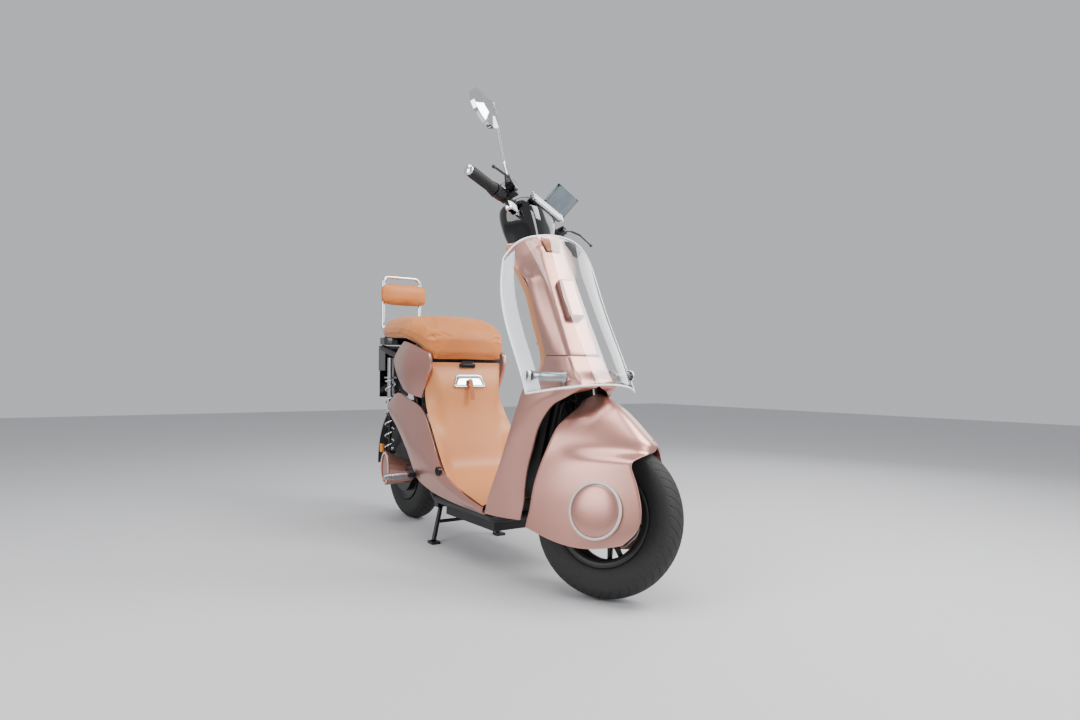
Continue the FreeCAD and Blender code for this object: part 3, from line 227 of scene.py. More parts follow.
# %% Meshes from nets
def make_piece(name, nets, body, material, close_u=False, close_v=False, caps=False, merge=1e-5,
               outward=True):
    """One mesh object from one or more nets: quads between neighbouring points, wrapped where closed, with a
    fan over the first and last rows when caps are asked for."""
    verts, faces, base = [], [], 0
    for net in nets:
        rows, cols = net.shape[:2]
        index = np.arange(rows * cols).reshape(rows, cols) + base
        if close_u:
            index = np.concatenate([index, index[:1]], axis=0)
        if close_v:
            index = np.concatenate([index, index[:, :1]], axis=1)
        quads = np.stack([index[:-1, :-1], index[:-1, 1:], index[1:, 1:], index[1:, :-1]], axis=-1)
        faces += quads.reshape(-1, 4).tolist()
        verts.append(net.reshape(-1, 3))
        base += rows * cols
        if caps:
            verts.append(np.array([net[0].mean(axis=0), net[-1].mean(axis=0)]))
            first, last = index[0], index[-1]
            faces += np.stack([first[1:], first[:-1], np.full(len(first) - 1, base)], axis=-1).tolist()
            faces += np.stack([last[:-1], last[1:], np.full(len(last) - 1, base + 1)], axis=-1).tolist()
            base += 2
    mesh = bpy.data.meshes.new(name)
    mesh.from_pydata(np.concatenate(verts).tolist(), [], faces)
    mesh.validate()
    piece = bpy.data.objects.new(name, mesh)
    bpy.context.scene.collection.objects.link(piece)
    tidy_mesh(mesh, merge, outward)
    mesh.polygons.foreach_set("use_smooth", np.ones(len(mesh.polygons), bool))
    mesh.materials.append(material)
    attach(piece, body)
    return piece


def tidy_mesh(mesh, merge, outward):
    """Joins points closer than `merge` metres and, where asked, turns a closed shape's faces outwards."""
    import bmesh
    work = bmesh.new()
    work.from_mesh(mesh)
    bmesh.ops.remove_doubles(work, verts=work.verts, dist=merge)
    if outward:
        bmesh.ops.recalc_face_normals(work, faces=work.faces)
    work.to_mesh(mesh)
    work.free()


def wall(piece, thickness, bevel=0.8 * MM, offset=-1.0):
    """Gives an open panel its thickness and a small rounded edge."""
    solid = piece.modifiers.new("wall", "SOLIDIFY")
    solid.thickness = thickness
    solid.offset = offset
    soft = piece.modifiers.new("edge", "BEVEL")
    soft.width = bevel
    soft.segments = 2
    soft.limit_method = "ANGLE"
    soft.angle_limit = math.radians(60)
    return piece

# %% [markdown]
# ## Finishes
# Each finish is named for the real material and how its surface was made. Roughness, metal and refraction
# start from typical values. Fine patterns use real sizes in millimetres and read the object's own
# coordinates, so they stay put when a part moves.


# %% Painted, plated and moulded hard finishes
def drive(tree, shader, tone, hexes, stops, wander, rough):
    """Base colour from a ramp with two stops over one output, and roughness from another output."""
    ramp = add(tree, "ShaderNodeValToRGB", links={"Fac": tone})
    for element, hex_text, stop in zip(ramp.color_ramp.elements, hexes, stops):
        element.position, element.color = stop, linear(hex_text)
    tree.links.new(ramp.outputs["Color"], shader.inputs["Base Color"])
    span = add(tree, "ShaderNodeMapRange", {"To Min": rough[0], "To Max": rough[1]}, {"Value": wander})
    tree.links.new(span.outputs["Result"], shader.inputs["Roughness"])


def speckled(name, hex_a, hex_b, grain_mm, rough_low, rough_high, bump_mm=0.0, **sockets):
    """A hard finish whose colour and roughness wander between two values with a noise of one grain size."""
    material, tree, shader, where = new_material(name, **sockets)
    noise = add(tree, "ShaderNodeTexNoise", {"Scale": 1000.0 / grain_mm, "Detail": 3.0}, {"Vector": where})
    drive(tree, shader, noise.outputs["Fac"], (hex_a, hex_b), (0.35, 0.65), noise.outputs["Fac"],
          (rough_low, rough_high))
    if bump_mm:
        bump = add(tree, "ShaderNodeBump", {"Strength": 0.5, "Distance": bump_mm * MM},
                   {"Height": noise.outputs["Fac"]})
        tree.links.new(bump.outputs["Normal"], shader.inputs["Normal"])
    return material


# Metallic basecoat sprayed on ABS, under a satin clear coat: aluminium flake gives a fine sparkle.
rose_paint = speckled("rose_metallic_paint", "#bd8679", "#c69184", 1.6, 0.27, 0.36, Metallic=0.82,
                      Coat_Weight=0.55, Coat_Roughness=0.16)
# Piano-black ABS from a polished mould: deep black, mirror-like.
piano_black = speckled("piano_black_abs", "#070708", "#0a0a0b", 30.0, 0.05, 0.11, Coat_Weight=0.6,
                       Coat_Roughness=0.03)
# Polypropylene from a spark-eroded mould: matt black with a 1 mm grain.
grained_black = speckled("grained_black_polypropylene", "#101011", "#19191b", 1.2, 0.45, 0.62, bump_mm=0.12)
# Powder coat on steel tube: slightly pebbled satin black.
powder_black = speckled("black_powder_coat", "#0e0e10", "#151517", 2.0, 0.33, 0.47, bump_mm=0.06)
# Nickel-chrome plate: bright, nearly smooth, with faint polishing wander in roughness.
chrome = speckled("bright_chrome_plate", "#dfe1e4", "#e9ebed", 18.0, 0.04, 0.1, Metallic=1.0)
# Satin anodised aluminium of fork legs, pegs and posts.
satin_aluminium = speckled("satin_anodised_aluminium", "#a6a8ac", "#b6b8bb", 0.9, 0.24, 0.34, Metallic=1.0)
# Vulcanised grip and peg rubber.
grip_rubber = speckled("moulded_grip_rubber", "#131314", "#1b1b1c", 1.0, 0.55, 0.72, bump_mm=0.1)
# Tread rubber: dark grey with a bloom of dust.
tread_rubber = speckled("carbon_black_tread_rubber", "#161617", "#262625", 4.0, 0.62, 0.82, bump_mm=0.12)
# Tan polypropylene panels, finely grained.
tan_panel = speckled("tan_moulded_polypropylene", "#d18750", "#d89059", 1.4, 0.36, 0.46, bump_mm=0.05)
# Lamp lenses and small clear parts.
lamp_clear = speckled("moulded_clear_lamp_lens", "#eef0f2", "#ffffff", 6.0, 0.06, 0.14, IOR=1.49,
                      Transmission_Weight=0.25, Emission_Color=linear("#ffffff"), Emission_Strength=0.25)
amber_lens = speckled("amber_prismatic_reflector", "#e0750f", "#f2921f", 3.0, 0.12, 0.22, bump_mm=0.4)
red_lens = speckled("red_moulded_lens", "#9c1410", "#c21d16", 3.0, 0.12, 0.2, bump_mm=0.3)
grey_abs = speckled("grey_satin_abs", "#74777c", "#7d8085", 2.0, 0.3, 0.4)
mirror_silver = speckled("silvered_mirror_glass", "#d3d8dc", "#dadfe2", 40.0, 0.01, 0.03, Metallic=1.0)
ring_white = speckled("frosted_white_ring", "#c9c3c1", "#d6d1cf", 2.0, 0.25, 0.35)
print("hard finishes ready")


# %% Tan leatherette
def leatherette(name, hex_a, hex_b, grain_mm=1.7, quilt_mm=0.0):
    """Embossed vinyl: pebbles from a Voronoi distance, darker in the valleys as painted shade, over slow
    colour drift.
    """
    material, tree, shader, where = new_material(name, IOR=1.46, Sheen_Weight=0.12, Sheen_Roughness=0.4)
    cells = add(tree, "ShaderNodeTexVoronoi", {"Scale": 1000.0 / grain_mm}, {"Vector": where})
    drift = add(tree, "ShaderNodeTexNoise", {"Scale": 9.0, "Detail": 4.0}, {"Vector": where})
    # Painted shade: the cell distance darkens the colour in the grain's valleys.
    blend = add(tree, "ShaderNodeMath", {"operation": "MULTIPLY_ADD", 1: 0.35},
                {0: cells.outputs["Distance"], 2: drift.outputs["Fac"]})
    drive(tree, shader, blend.outputs["Value"], (hex_b, hex_a), (0.35, 0.85), drift.outputs["Fac"],
          (0.4, 0.56))
    bump = add(tree, "ShaderNodeBump", {"Strength": 0.35, "Distance": 0.25 * MM},
               {"Height": cells.outputs["Distance"]})
    surface = quilted(tree, where, bump, quilt_mm) if quilt_mm else bump
    tree.links.new(surface.outputs["Normal"], shader.inputs["Normal"])
    return material


def quilted(tree, where, bump, quilt_mm):
    """Diamond channels: distance to the nearest line of x + y or x - y, pressed in on upward faces."""
    parts = add(tree, "ShaderNodeSeparateXYZ", links={"Vector": where})
    channels = []
    for diagonal in ("ADD", "SUBTRACT"):
        run = add(tree, "ShaderNodeMath", {"operation": diagonal},
                  {0: parts.outputs["X"], 1: parts.outputs["Y"]})
        channels.append(add(tree, "ShaderNodeMath", {"operation": "PINGPONG", 1: quilt_mm * MM / 2},
                            {0: run.outputs["Value"]}))
    nearest = add(tree, "ShaderNodeMath", {"operation": "MINIMUM"}, {0: channels[0].outputs["Value"],
                                                                     1: channels[1].outputs["Value"]})
    groove = add(tree, "ShaderNodeMapRange", {"From Max": 3.5 * MM, "To Min": 1.0, "To Max": 0.0},
                 {"Value": nearest.outputs["Value"]})
    facing = add(tree, "ShaderNodeSeparateXYZ",
                 links={"Vector": add(tree, "ShaderNodeNewGeometry").outputs["Normal"]})
    upward = add(tree, "ShaderNodeMapRange", {"From Min": 0.8, "From Max": 0.95},
                 {"Value": facing.outputs["Z"]})
    depth = add(tree, "ShaderNodeMath", {"operation": "MULTIPLY"}, {0: groove.outputs["Result"],
                                                                    1: upward.outputs["Result"]})
    sewn = add(tree, "ShaderNodeBump", {"Strength": 0.8, "Distance": -2.0 * MM},
               {"Height": depth.outputs["Value"]})
    tree.links.new(bump.outputs["Normal"], sewn.inputs["Normal"])
    return sewn


tan_leatherette = leatherette("tan_embossed_leatherette", "#c67537", "#d48545")
quilted_leatherette = leatherette("tan_quilted_leatherette", "#c67537", "#d48545", quilt_mm=62.0)
strap_leather = leatherette("tan_strap_leather", "#a85c2a", "#bb6d36", 1.2)
stitch_thread = speckled("bonded_polyester_thread", "#8a4a20", "#a05a2a", 0.8, 0.6, 0.75)
# Cast acrylic sheet: clear and smooth; its sawn edges are flame polished.
screen_clear = new_material("cast_clear_acrylic_sheet", Base_Color=linear("#ffffff"), Roughness=0.02,
                            IOR=1.49, Transmission_Weight=1.0)[0]
# Painted light: a whitish finish that glows by emission, for the edge bead and for the painted reflection
# bands on the sheet.
painted_screen_glow = speckled("acrylic_painted_glow", "#e6ebee", "#f5f8fa", 5.0, 0.12, 0.2, IOR=1.49,
                       Emission_Color=linear("#f4f7fa"), Emission_Strength=0.35)
print("soft and clear finishes ready")

# %% Give every carried-over part its finish
FINISHES = {
    rose_paint: "leg_shield_upper leg_shield_lower side_box_left side_box_right side_cover_left "
                "side_cover_right front_mask column_box swingarm_pod",
    piano_black: "cowl tail_cover display_panel brake_lever_left brake_lever_right",
    grained_black: "bar_controls belly_pan rear_mudguard seat_pan battery_and_controller storage_box "
                   "start_button horn_button",
    powder_black: "main_frame swingarm steering_stem centre_stand front_rim rear_hub_motor side_fittings "
                  "shock_rods handlebar",
    satin_aluminium: "fork_lowers shock_bodies shock_springs windshield_posts footpeg_left footpeg_right",
    grip_rubber: "throttle_grip left_grip",
    tread_rubber: "front_tyre rear_tyre",
    tan_leatherette: "saddle pillion_pad backrest_pad",
    strap_leather: "seat_strap column_patch",
    tan_panel: "floor_tub leg_shield_inner",
    chrome: "chrome_trims mirror_stalk mirror_housing backrest_tube latch_plate",
    mirror_silver: "mirror_glass",
    screen_clear: "windshield",
    lamp_clear: "lamp_lenses",
    amber_lens: "side_reflectors",
    red_lens: "tail_light power_button",
    grey_abs: "bag_hook",
}
for finish, names in FINISHES.items():
    for name in names.split():
        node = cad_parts[name]
        node.data.materials.clear()
        node.data.materials.append(finish)
print("finished nodes", sum(len(names.split()) for names in FINISHES.values()))

# %% [markdown]
# ## Column and leg shields
# The front column is injection-moulded ABS, painted, with a soft crease down each side of its front. It is
# made from a few measured cross rows, smoothed along their length, with each crease rounded by its own
# radius. The top is cut square to the steering axis, where the turning cowl passes over it.


# %% Helpers for panels
def trim(piece, point, normal):
    """Cuts the piece with a plane and removes the side that the normal points to."""
    import bmesh
    work = bmesh.new()
    work.from_mesh(piece.data)
    everything = work.verts[:] + work.edges[:] + work.faces[:]
    bmesh.ops.bisect_plane(work, geom=everything, plane_co=point, plane_no=normal, clear_outer=True)
    work.to_mesh(piece.data)
    work.free()


def finish_piece(piece, slot, *nodes):
    """Hides the fixed parts that the piece stands for and prints its face count. The slot argument is not
    used.
    """
    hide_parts(*nodes)
    print(piece.name, len(piece.data.polygons), "faces")


def rows_of(items, key):
    """One property of every vertex or polygon, three numbers each, as the rows of an array."""
    values = np.empty(len(items) * 3)
    items.foreach_get(key, values)
    return values.reshape(-1, 3)


def face_outwards(piece, centre):
    """Turns an open panel's faces so that most of them point away from a centre in metres."""
    faces = piece.data.polygons
    away = rows_of(faces, "center") - np.asarray(centre, float)
    if np.sum(rows_of(faces, "normal") * away) < 0:
        piece.data.flip_normals()


SKIN = 3.0 * MM
COLUMN_TOP = 819.4
column_cut = (tuple(fork([[0, 0, COLUMN_TOP]])[0]), tuple(fork_up))

# %% Upper column cover
# Each row: height, then the rear edge and the crease, as distance ahead of the rear axle and half width.
COLUMN_ROWS = [(631, 1079, 82, 1152, 57), (735, 1040, 85, 1097, 54), (812, 1005, 86, 1057, 52),
               (850, 985, 88, 1037, 51), (872, 972, 105, 1025, 50), (925, 940, 118, 998, 49),
               (1010, 892, 112, 953, 47)]
column_net = np.array([[(ex, -ey, z), (cx, -cy, z), (cx + 5, 0, z)] for z, ex, ey, cx, cy in COLUMN_ROWS])
column_net = round_bends(denser(smooth_rows(both_sides(column_net), 10), 2), [1, 20, 1, 24, 1, 20, 1])
column = make_piece("column_cover", [vehicle(column_net)], "chassis", rose_paint, outward=False)
trim(column, *column_cut)
face_outwards(column, (0.40, 0, 0.8))
finish_piece(wall(column, SKIN), "painted_rose", "leg_shield_upper")

# %% Lower column and the two legs
# The same kind of row, carried on below the column: past 549 mm the middle splits into two legs, and the
# last point of a row becomes a returned lip behind the leg's front edge.
COLLAR_ROWS = [(629, 1079, 82, 1154, 57), (590, 1068, 90, 1180, 58), (549, 1038, 120, 1214, 60)]
LEG_ROWS = [(525, 1031, 130, 1186, 70), (500, 1026, 136, 1138, 87), (470, 1018, 142, 1106, 95),
            (430, 1006, 149, 1080, 101), (380, 987, 154, 1060, 103), (320, 959, 158, 1041, 109),
            (270, 930, 160, 1032, 112), (228, 905, 160, 1029, 115), (172, 876, 158, 1018, 121)]
LIP_BACK, LIP_IN = 13.0, 7.0


def leg_row(level, swell, last):
    """Rear edge, swollen middle, front crease, and the given last point, of one right-hand row."""
    z, edge_x, edge_y, crease_x, crease_y = level
    edge, crease = np.array([edge_x, -edge_y, z]), np.array([crease_x, -crease_y, z])
    along = (crease - edge) / np.linalg.norm(crease - edge)
    away = np.array([along[1], -along[0], 0.0])
    return [edge, edge * 0.67 + crease * 0.33 + away * swell * 0.9,
            edge * 0.33 + crease * 0.67 + away * swell,
            crease, last]


leg_net = [leg_row(level, 3.0 * i, (level[3] + 3, 0, level[0])) for i, level in enumerate(COLLAR_ROWS)]
leg_net += [leg_row(level, 8.0, (level[3] - LIP_BACK, -level[4] + LIP_IN, level[0])) for level in LEG_ROWS]
leg_net = round_bends(smooth_rows(leg_net, 8), [30, 30, 9])
legs = make_piece("column_legs", [vehicle(leg_net), vehicle(mirrored(leg_net))], "chassis", rose_paint,
                  outward=False, merge=0.4 * MM)
legs.data.validate()
face_outwards(legs, (0.36, 0, 0.45))
finish_piece(wall(legs, SKIN), "painted_rose", "leg_shield_lower")

# %% Inner shield on the rider's side
INNER_ROWS = [(990, 900, 108, 880, 104, 835, 70, 812), (925, 937, 113, 915, 108, 868, 72, 845),
              (872, 968, 100, 940, 92, 893, 64, 870), (812, 1002, 84, 975, 82, 930, 58, 903),
              (735, 1037, 82, 1012, 80, 964, 58, 936), (632, 1076, 79, 1062, 78, 1010, 58, 982),
              (590, 1065, 86, 1055, 84, 1010, 62, 985), (549, 1035, 117, 1024, 112, 995, 75, 978),
              (470, 1015, 139, 1004, 134, 975, 85, 960), (380, 984, 151, 973, 146, 948, 95, 935),
              (300, 945, 156, 934, 151, 915, 100, 905), (236, 906, 157, 895, 152, 885, 105, 880),
              (206, 890, 157, 882, 152, 876, 105, 873)]
inner_net = [[(x0, -y0 + 1, z), (x1, -y1 + 1, z), (x2, -y2, z), (x3, 0, z)]
             for z, x0, y0, x1, y1, x2, y2, x3 in INNER_ROWS]
inner_net = round_bends(smooth_rows(both_sides(inner_net), 7), [7, 26, 40, 26, 7])
inner = make_piece("inner_shield", [vehicle(inner_net)], "chassis", tan_panel, outward=False)
trim(inner, *column_cut)
face_outwards(inner, (0.62, 0, 0.6))
wall(inner, 2.6 * MM)
print(inner.name, len(inner.data.polygons), "faces")

# %% Floor and riser
TUB_ROWS = [(866, 158, 193, 866, 120, 206), (750, 158, 216, 750, 118, 218), (670, 157, 232, 664, 115, 223),
            (625, 156, 252, 604, 112, 232), (572, 155, 310, 545, 104, 266), (521, 154, 372, 514, 102, 345),
            (458, 152, 450, 486, 100, 450), (425, 146, 520, 474, 120, 540), (446, 141, 600, 456, 131, 598),
            (443, 142, 619, 454, 132, 619)]
tub_net = [[(x0, -y0, z0), (x1, -y1, z1), (x1, 0, z1)] for x0, y0, z0, x1, y1, z1 in TUB_ROWS]
tub_net = round_bends(denser(smooth_rows(both_sides(tub_net), 9), 2), [1, 16, 1, 1, 1, 16, 1])
tub = make_piece("floor_and_riser", [vehicle(tub_net)], "chassis", tan_panel, outward=False)
face_outwards(tub, (-0.2, 0, 0.0))
finish_piece(wall(tub, SKIN), "tan_plastic", "floor_tub")

# %% [markdown]
# ## Side boxes and side covers
# These painted panels bulge outwards like a shallow dish and turn in at their rim, where they meet the
# saddle, the frame and each other. A net smoothed both ways gives the bulge, and one extra ring of points
# inside the rim gives the turned-in edge.


# %% Dished panels
def smooth_both(net, down, across):
    """Catmull-Rom along the rows, then along the columns."""
    net = smooth_rows(net, down)
    return np.swapaxes(smooth_rows(np.swapaxes(net, 0, 1), across), 0, 1)


def turned_in(net, depth, draw):
    """Adds a ring of points around the net: each edge point moved by `depth` and drawn to the middle."""
    middle = net.mean(axis=(0, 1))
    ring = np.pad(net, ((2, 2), (2, 2), (0, 0)), mode="edge")
    rows, cols = ring.shape[:2]
    i, j = np.meshgrid(np.arange(rows), np.arange(cols), indexing="ij")
    edge = np.minimum(np.minimum(i, rows - 1 - i), np.minimum(j, cols - 1 - j))
    share = np.select([edge == 0, edge == 1], [1.0, 0.35], 0.0)[..., None]
    pull = np.select([edge == 0, edge == 1], [draw, 0.15 * draw], 0.0)[..., None]
    towards = middle - ring
    towards = towards / (np.linalg.norm(towards, axis=-1, keepdims=True) + 1e-9)
    return ring + share * np.asarray(depth, float) + towards * pull


BOX_ROWS = [[(262, 158, 698), (350, 166, 685), (450, 154, 655)],
            [(215, 165, 662), (340, 177, 656), (466, 152, 646)],
            [(190, 168, 625), (325, 181, 619), (469, 151, 607)],
            [(218, 165, 570), (330, 176, 560), (440, 151, 550)],
            [(262, 160, 523), (335, 168, 508), (402, 150, 495)]]
COVER_ROWS = [[(120, 150, 482), (105, 158, 455), (120, 152, 420)],
              [(205, 156, 508), (200, 170, 440), (225, 164, 375)],
              [(300, 159, 490), (290, 176, 400), (320, 168, 305)],
              [(395, 159, 470), (370, 178, 345), (380, 170, 250)],
              [(452, 159, 438), (440, 178, 310), (430, 168, 212)],
              [(519, 161, 360), (520, 176, 270), (520, 164, 188)],
              [(604, 162, 262), (610, 172, 225), (620, 160, 176)],
              [(750, 163, 211), (750, 168, 190), (750, 155, 168)],
              [(868, 164, 188), (868, 166, 178), (868, 155, 166)]]
for kind, rows, steps, depth in (("side_box", BOX_ROWS, (12, 18), 12.0),
                                 ("side_cover", COVER_ROWS, (8, 12), 9.0)):
    right_net = np.array(rows, float) * (1, -1, 1)
    right_net = turned_in(smooth_both(right_net, *steps), (0, depth, 0), 3.0)
    for side, net in (("right", right_net), ("left", mirrored(right_net))):
        panel = make_piece(kind + "_panel_" + side, [vehicle(net)], "chassis", rose_paint, outward=False)
        face_outwards(panel, (-0.2, 0, 0.4))
        finish_piece(wall(panel, 2.4 * MM), "painted_rose", kind + "_" + side)

# %% [markdown]
# ## Front mask
# One painted shell wraps the top and both sides of the wheel. Its upper rows close over the wheel in a
# rounded nose, and its lower rows stay open to show the tyre. Between them the row's shape changes smoothly
# from open to closed.

# %% Mask shell
MASK_BACK = [(-167, 25), (-155, 45), (-143, 62), (-127, 95), (-110, 127), (-85, 163), (-59, 197), (-38, 225),
             (-17, 253), (12, 275), (43, 295), (55, 318)]
MASK_FRONT = [(85, -94), (135, -73), (158, -35), (165, 5), (167, 46), (164, 88), (188, 104), (212, 125),
              (197, 167), (165, 238), (138, 282), (100, 323)]
MASK_HALF = [106, 108, 109, 110, 110, 109, 105, 99, 90, 75, 52, 30]
MASK_CLOSE = [0, 0, 0, 0, 0, 0, 0.35, 1, 1, 1, 1, 1]
MASK_SAG = [-28, -14, 0, 0, 0, 0, 0, 0, 0, 0, 0, 0]
mask_table = np.column_stack([MASK_BACK, MASK_FRONT, MASK_HALF, MASK_CLOSE, MASK_SAG])
mask_table = smooth_rows(mask_table, 8)
back_p, back_s, front_p, front_s, half, closing, sag = (mask_table[:, i:i + 1] for i in range(7))
closing = np.clip(closing, 0, 1)
closing = closing * closing * (3 - 2 * closing)
u = np.linspace(0, 1, 41)[None]
side_open = half + 10 * np.sin(np.pi * u)
side_shut = half * np.clip(np.cos(np.pi * u / 2), 0, 1) ** 0.7
side_out = side_open * (1 - closing) + side_shut * closing
along = u * (1 - closing) + np.sin(np.pi * u / 2) * closing
mask_p = back_p + (front_p - back_p) * along
mask_s = back_s + (front_s - back_s) * along + sag * np.sin(np.pi * u)
mask_net = np.stack([mask_p, -side_out, mask_s], axis=-1)
MASK_PASSES, MASK_SHARE = 16, 0.25
# Each pass moves a row a quarter of the way to the mean of its neighbours, which calms the closing visor.
for _ in range(MASK_PASSES):
    mask_net[1:-1] += MASK_SHARE * (mask_net[2:] - 2 * mask_net[1:-1] + mask_net[:-2])
mask = make_piece("front_mask_shell", [fork(mask_net), fork(mirrored(mask_net))], "steering", rose_paint,
                  outward=False, merge=0.6 * MM)
face_outwards(mask, fork([[40, 0, 60]])[0])
finish_piece(wall(mask, SKIN, bevel=1.0 * MM), "painted_rose", "front_mask")


# %% Turned pieces
def revolve(profile, centre, axis, around=96):
    """Turns (radius, along) pairs about an axis through a centre: a ring of points for each pair."""
    profile, axis = np.asarray(profile, float) * MM, np.asarray(axis, float)
    side = np.cross(axis, (0.3, 0.2, 1.0))
    side /= np.linalg.norm(side)
    other = np.cross(axis, side)
    angle = np.linspace(0, 2 * np.pi, around, endpoint=False)[None, :, None]
    ring = np.cos(angle) * side + np.sin(angle) * other
    return np.asarray(centre, float) + profile[:, :1, None] * ring + profile[:, 1:, None] * axis


def turned(name, profile, centre, axis, body, material, around=96):
    """A closed turned piece in the fork's or the vehicle's own frame, already in metres."""
    piece = make_piece(name, [revolve(profile, centre, axis, around)], body, material, close_v=True,
                       caps=True)


CAP_CENTRE, CAP_RADIUS, RING_RADIUS = (45, 5), 65.0, 72.0
dome = [(CAP_RADIUS * math.cos(a), 4 + 10 * math.sin(a)) for a in np.linspace(0.02, 1.45, 14)]
for side, name in ((-1, "right"), (1, "left")):
    base = fork([[CAP_CENTRE[0], side * 117.5, CAP_CENTRE[1]]])[0]
    way = fork_left * side
    turned("mask_cap_" + name, [(CAP_RADIUS, 0)] + [tuple(p) for p in dome], base, way, "steering",
           rose_paint)
    ring_profile = [(RING_RADIUS, 0), (RING_RADIUS, 5), (RING_RADIUS - 1.5, 6.5), (CAP_RADIUS + 1.5, 6.5),
                    (CAP_RADIUS + 0.4, 5.5), (CAP_RADIUS + 0.4, 0)]
    ring = make_piece("mask_ring_" + name, [revolve(np.array(ring_profile), base, way)], "steering",
                      ring_white, close_u=True, close_v=True)

# %% [markdown]
# ## Tyres
# A scooter tyre is a moulded ring: a rounded tread, thin side walls and a bead on the rim. The tread pattern
# is cut here as real depth, by lowering each surface point that falls inside a slanted groove. Grooves that
# lean towards the centre line push water outwards.

# %% Tyres with tread
WHEEL_RADIUS, TREAD_DEPTH = 205.0, 2.6
TYRE_PROFILE = [(129, -33), (136, -38), (150, -41.2), (168, -42.4), (182, -40.5), (192, -34.5), (199.5, -25),
                (203.6, -13), (WHEEL_RADIUS, 0)]
GROOVE_PITCH_MM, GROOVE_MM, GROOVE_STEPS = 27.0, 4.2, 960
GROOVE_SLANT, GROOVE_FROM, GROOVE_TO, SHOULDER_RADIUS = 0.95, 5, 38, 184
CENTRE_LINE_AT, CENTRE_LINE_WIDE, CENTRE_LINE_DEPTH, CROWN_RADIUS = 2.0, 1.3, 0.55, 190


def tyre_net(centre, axis):
    """Radius and side offset from a smooth profile; inside a groove the radius drops by the tread depth.
    A groove's phase is the arc length plus a share of the side offset, so it runs on a slant."""
    half_profile = smooth_rows(TYRE_PROFILE, 5)
    profile = np.concatenate([half_profile, half_profile[:-1][::-1] * (1, -1)])
    turns = int(round(2 * np.pi * WHEEL_RADIUS / GROOVE_PITCH_MM))
    angle = np.linspace(0, 2 * np.pi, GROOVE_STEPS, endpoint=False)[:, None]
    radius, side = profile[None, :, 0], profile[None, :, 1]
    pitch = 2 * np.pi * WHEEL_RADIUS / turns
    phase = (angle * WHEEL_RADIUS + np.abs(side) * GROOVE_SLANT + np.where(side > 0, pitch / 2, 0)) % pitch
    reach = (np.abs(side) > GROOVE_FROM) & (np.abs(side) < GROOVE_TO) & (radius > SHOULDER_RADIUS)
    groove = np.clip(1.2 - np.abs(phase - pitch / 2) / (GROOVE_MM / 2), 0, 1) * reach
    line = np.exp(-((np.abs(side) - CENTRE_LINE_AT) / CENTRE_LINE_WIDE) ** 2) * (radius > CROWN_RADIUS)
    radius = radius - TREAD_DEPTH * np.maximum(groove, line * CENTRE_LINE_DEPTH)
    first = np.cross(axis, (0.0, 0.0, 1.0))
    first /= np.linalg.norm(first)
    second = np.cross(axis, first)
    spoke = np.cos(angle)[..., None] * first + np.sin(angle)[..., None] * second
    across = (side + 0 * angle)[..., None] * np.asarray(axis)
    return np.asarray(centre) + (radius[..., None] * spoke + across) * MM


front_hub = fork([[22.3, 0, 0]])[0]
rear_hub = vehicle([[0, 0, WHEEL_RADIUS]])[0]
for name, hub, axis, body in (("front", front_hub, fork_left, "front_wheel"),
                              ("rear", rear_hub, np.array([0.0, 1.0, 0.0]), "rear_wheel")):
    rubber = make_piece(name + "_tread_tyre", [tyre_net(hub, axis)], body, tread_rubber, close_u=True,
                        close_v=True)
    finish_piece(rubber, "tyre_rubber", name + "_tyre")

# %% [markdown]
# ## Cast front wheel
# The wheel is cast aluminium, coated black: a drop-centre rim, five pairs of slim spokes and a hub. Its rim
# is a turned profile, and each spoke is a tapered bar swept from the hub to the rim.

# %% Cast rim
RIM_PROFILE = [(108, -30), (112, -35), (127, -37), (130, -34), (128.6, -30), (121, -26), (117, -14),
               (116, 0), (117, 14), (121, 26), (128.6, 30), (130, 34), (127, 37), (112, 35), (108, 30),
               (106, 16), (105, 0), (106, -16)]
rim = make_piece("cast_rim", [revolve(RIM_PROFILE, front_hub, fork_left, 160)], "front_wheel", powder_black,
                 close_u=True, close_v=True)

# %% Five pairs of spokes
SPOKE_PAIRS, SPOKE_FAN, SPOKE_START, SPOKE_END = 5, math.radians(9), 20, 109
radial = np.linspace(SPOKE_START, SPOKE_END, 14)[:, None]
loop = np.linspace(0, 2 * np.pi, 12, endpoint=False)[None]
half_across, half_deep = 9.5 - 3.5 * radial / SPOKE_END, 15.0 - 4.0 * radial / SPOKE_END
first_way = np.cross(fork_left, (0, 0, 1))
second_way = np.cross(fork_left, first_way)
spoke_nets = []
for pair in range(SPOKE_PAIRS):
    for lean in (-1, 1):
        angle = 2 * math.pi * pair / SPOKE_PAIRS + lean * SPOKE_FAN * radial / SPOKE_END
        along = np.cos(angle)[..., None] * first_way + np.sin(angle)[..., None] * second_way
        across = np.cross(fork_left, along)
        net = (radial[..., None] * along + (half_across * np.cos(loop))[..., None] * across
               + (half_deep * np.sin(loop))[..., None] * fork_left)
        spoke_nets.append(front_hub + net * MM)
spokes = make_piece("cast_spokes", spoke_nets, "front_wheel", powder_black, close_v=True, caps=True)

# %% Hub and brake disc
hub_profile = [(7.2, -33), (22, -33), (28, -29), (29, 0), (28, 28), (24, 36), (7.2, 36)]
hub = make_piece("cast_hub", [revolve(hub_profile, front_hub, fork_left)], "front_wheel", powder_black,
                 close_v=True, close_u=True)
DISC_RADIUS, DISC_WAVES = 80.0, 12
disc_angle = np.linspace(0, 2 * np.pi, 240, endpoint=False)[None]
disc_radius = np.array([24, 50, 56, 60, 66, 72, 78, DISC_RADIUS])[:, None]
wave = 1 + 0.012 * np.sin(disc_angle * DISC_WAVES) * (disc_radius > 77)
disc_net = (disc_radius * wave)[..., None] * (np.cos(disc_angle)[..., None] * fork_ahead
                                              + np.sin(disc_angle)[..., None] * fork_up)
disc = make_piece("brake_disc_face", [front_hub + (disc_net + 38.4 * fork_left) * MM], "front_wheel",
                  satin_aluminium, close_v=True, outward=False)
wall(disc, 3.6 * MM, bevel=0.4 * MM, offset=0)
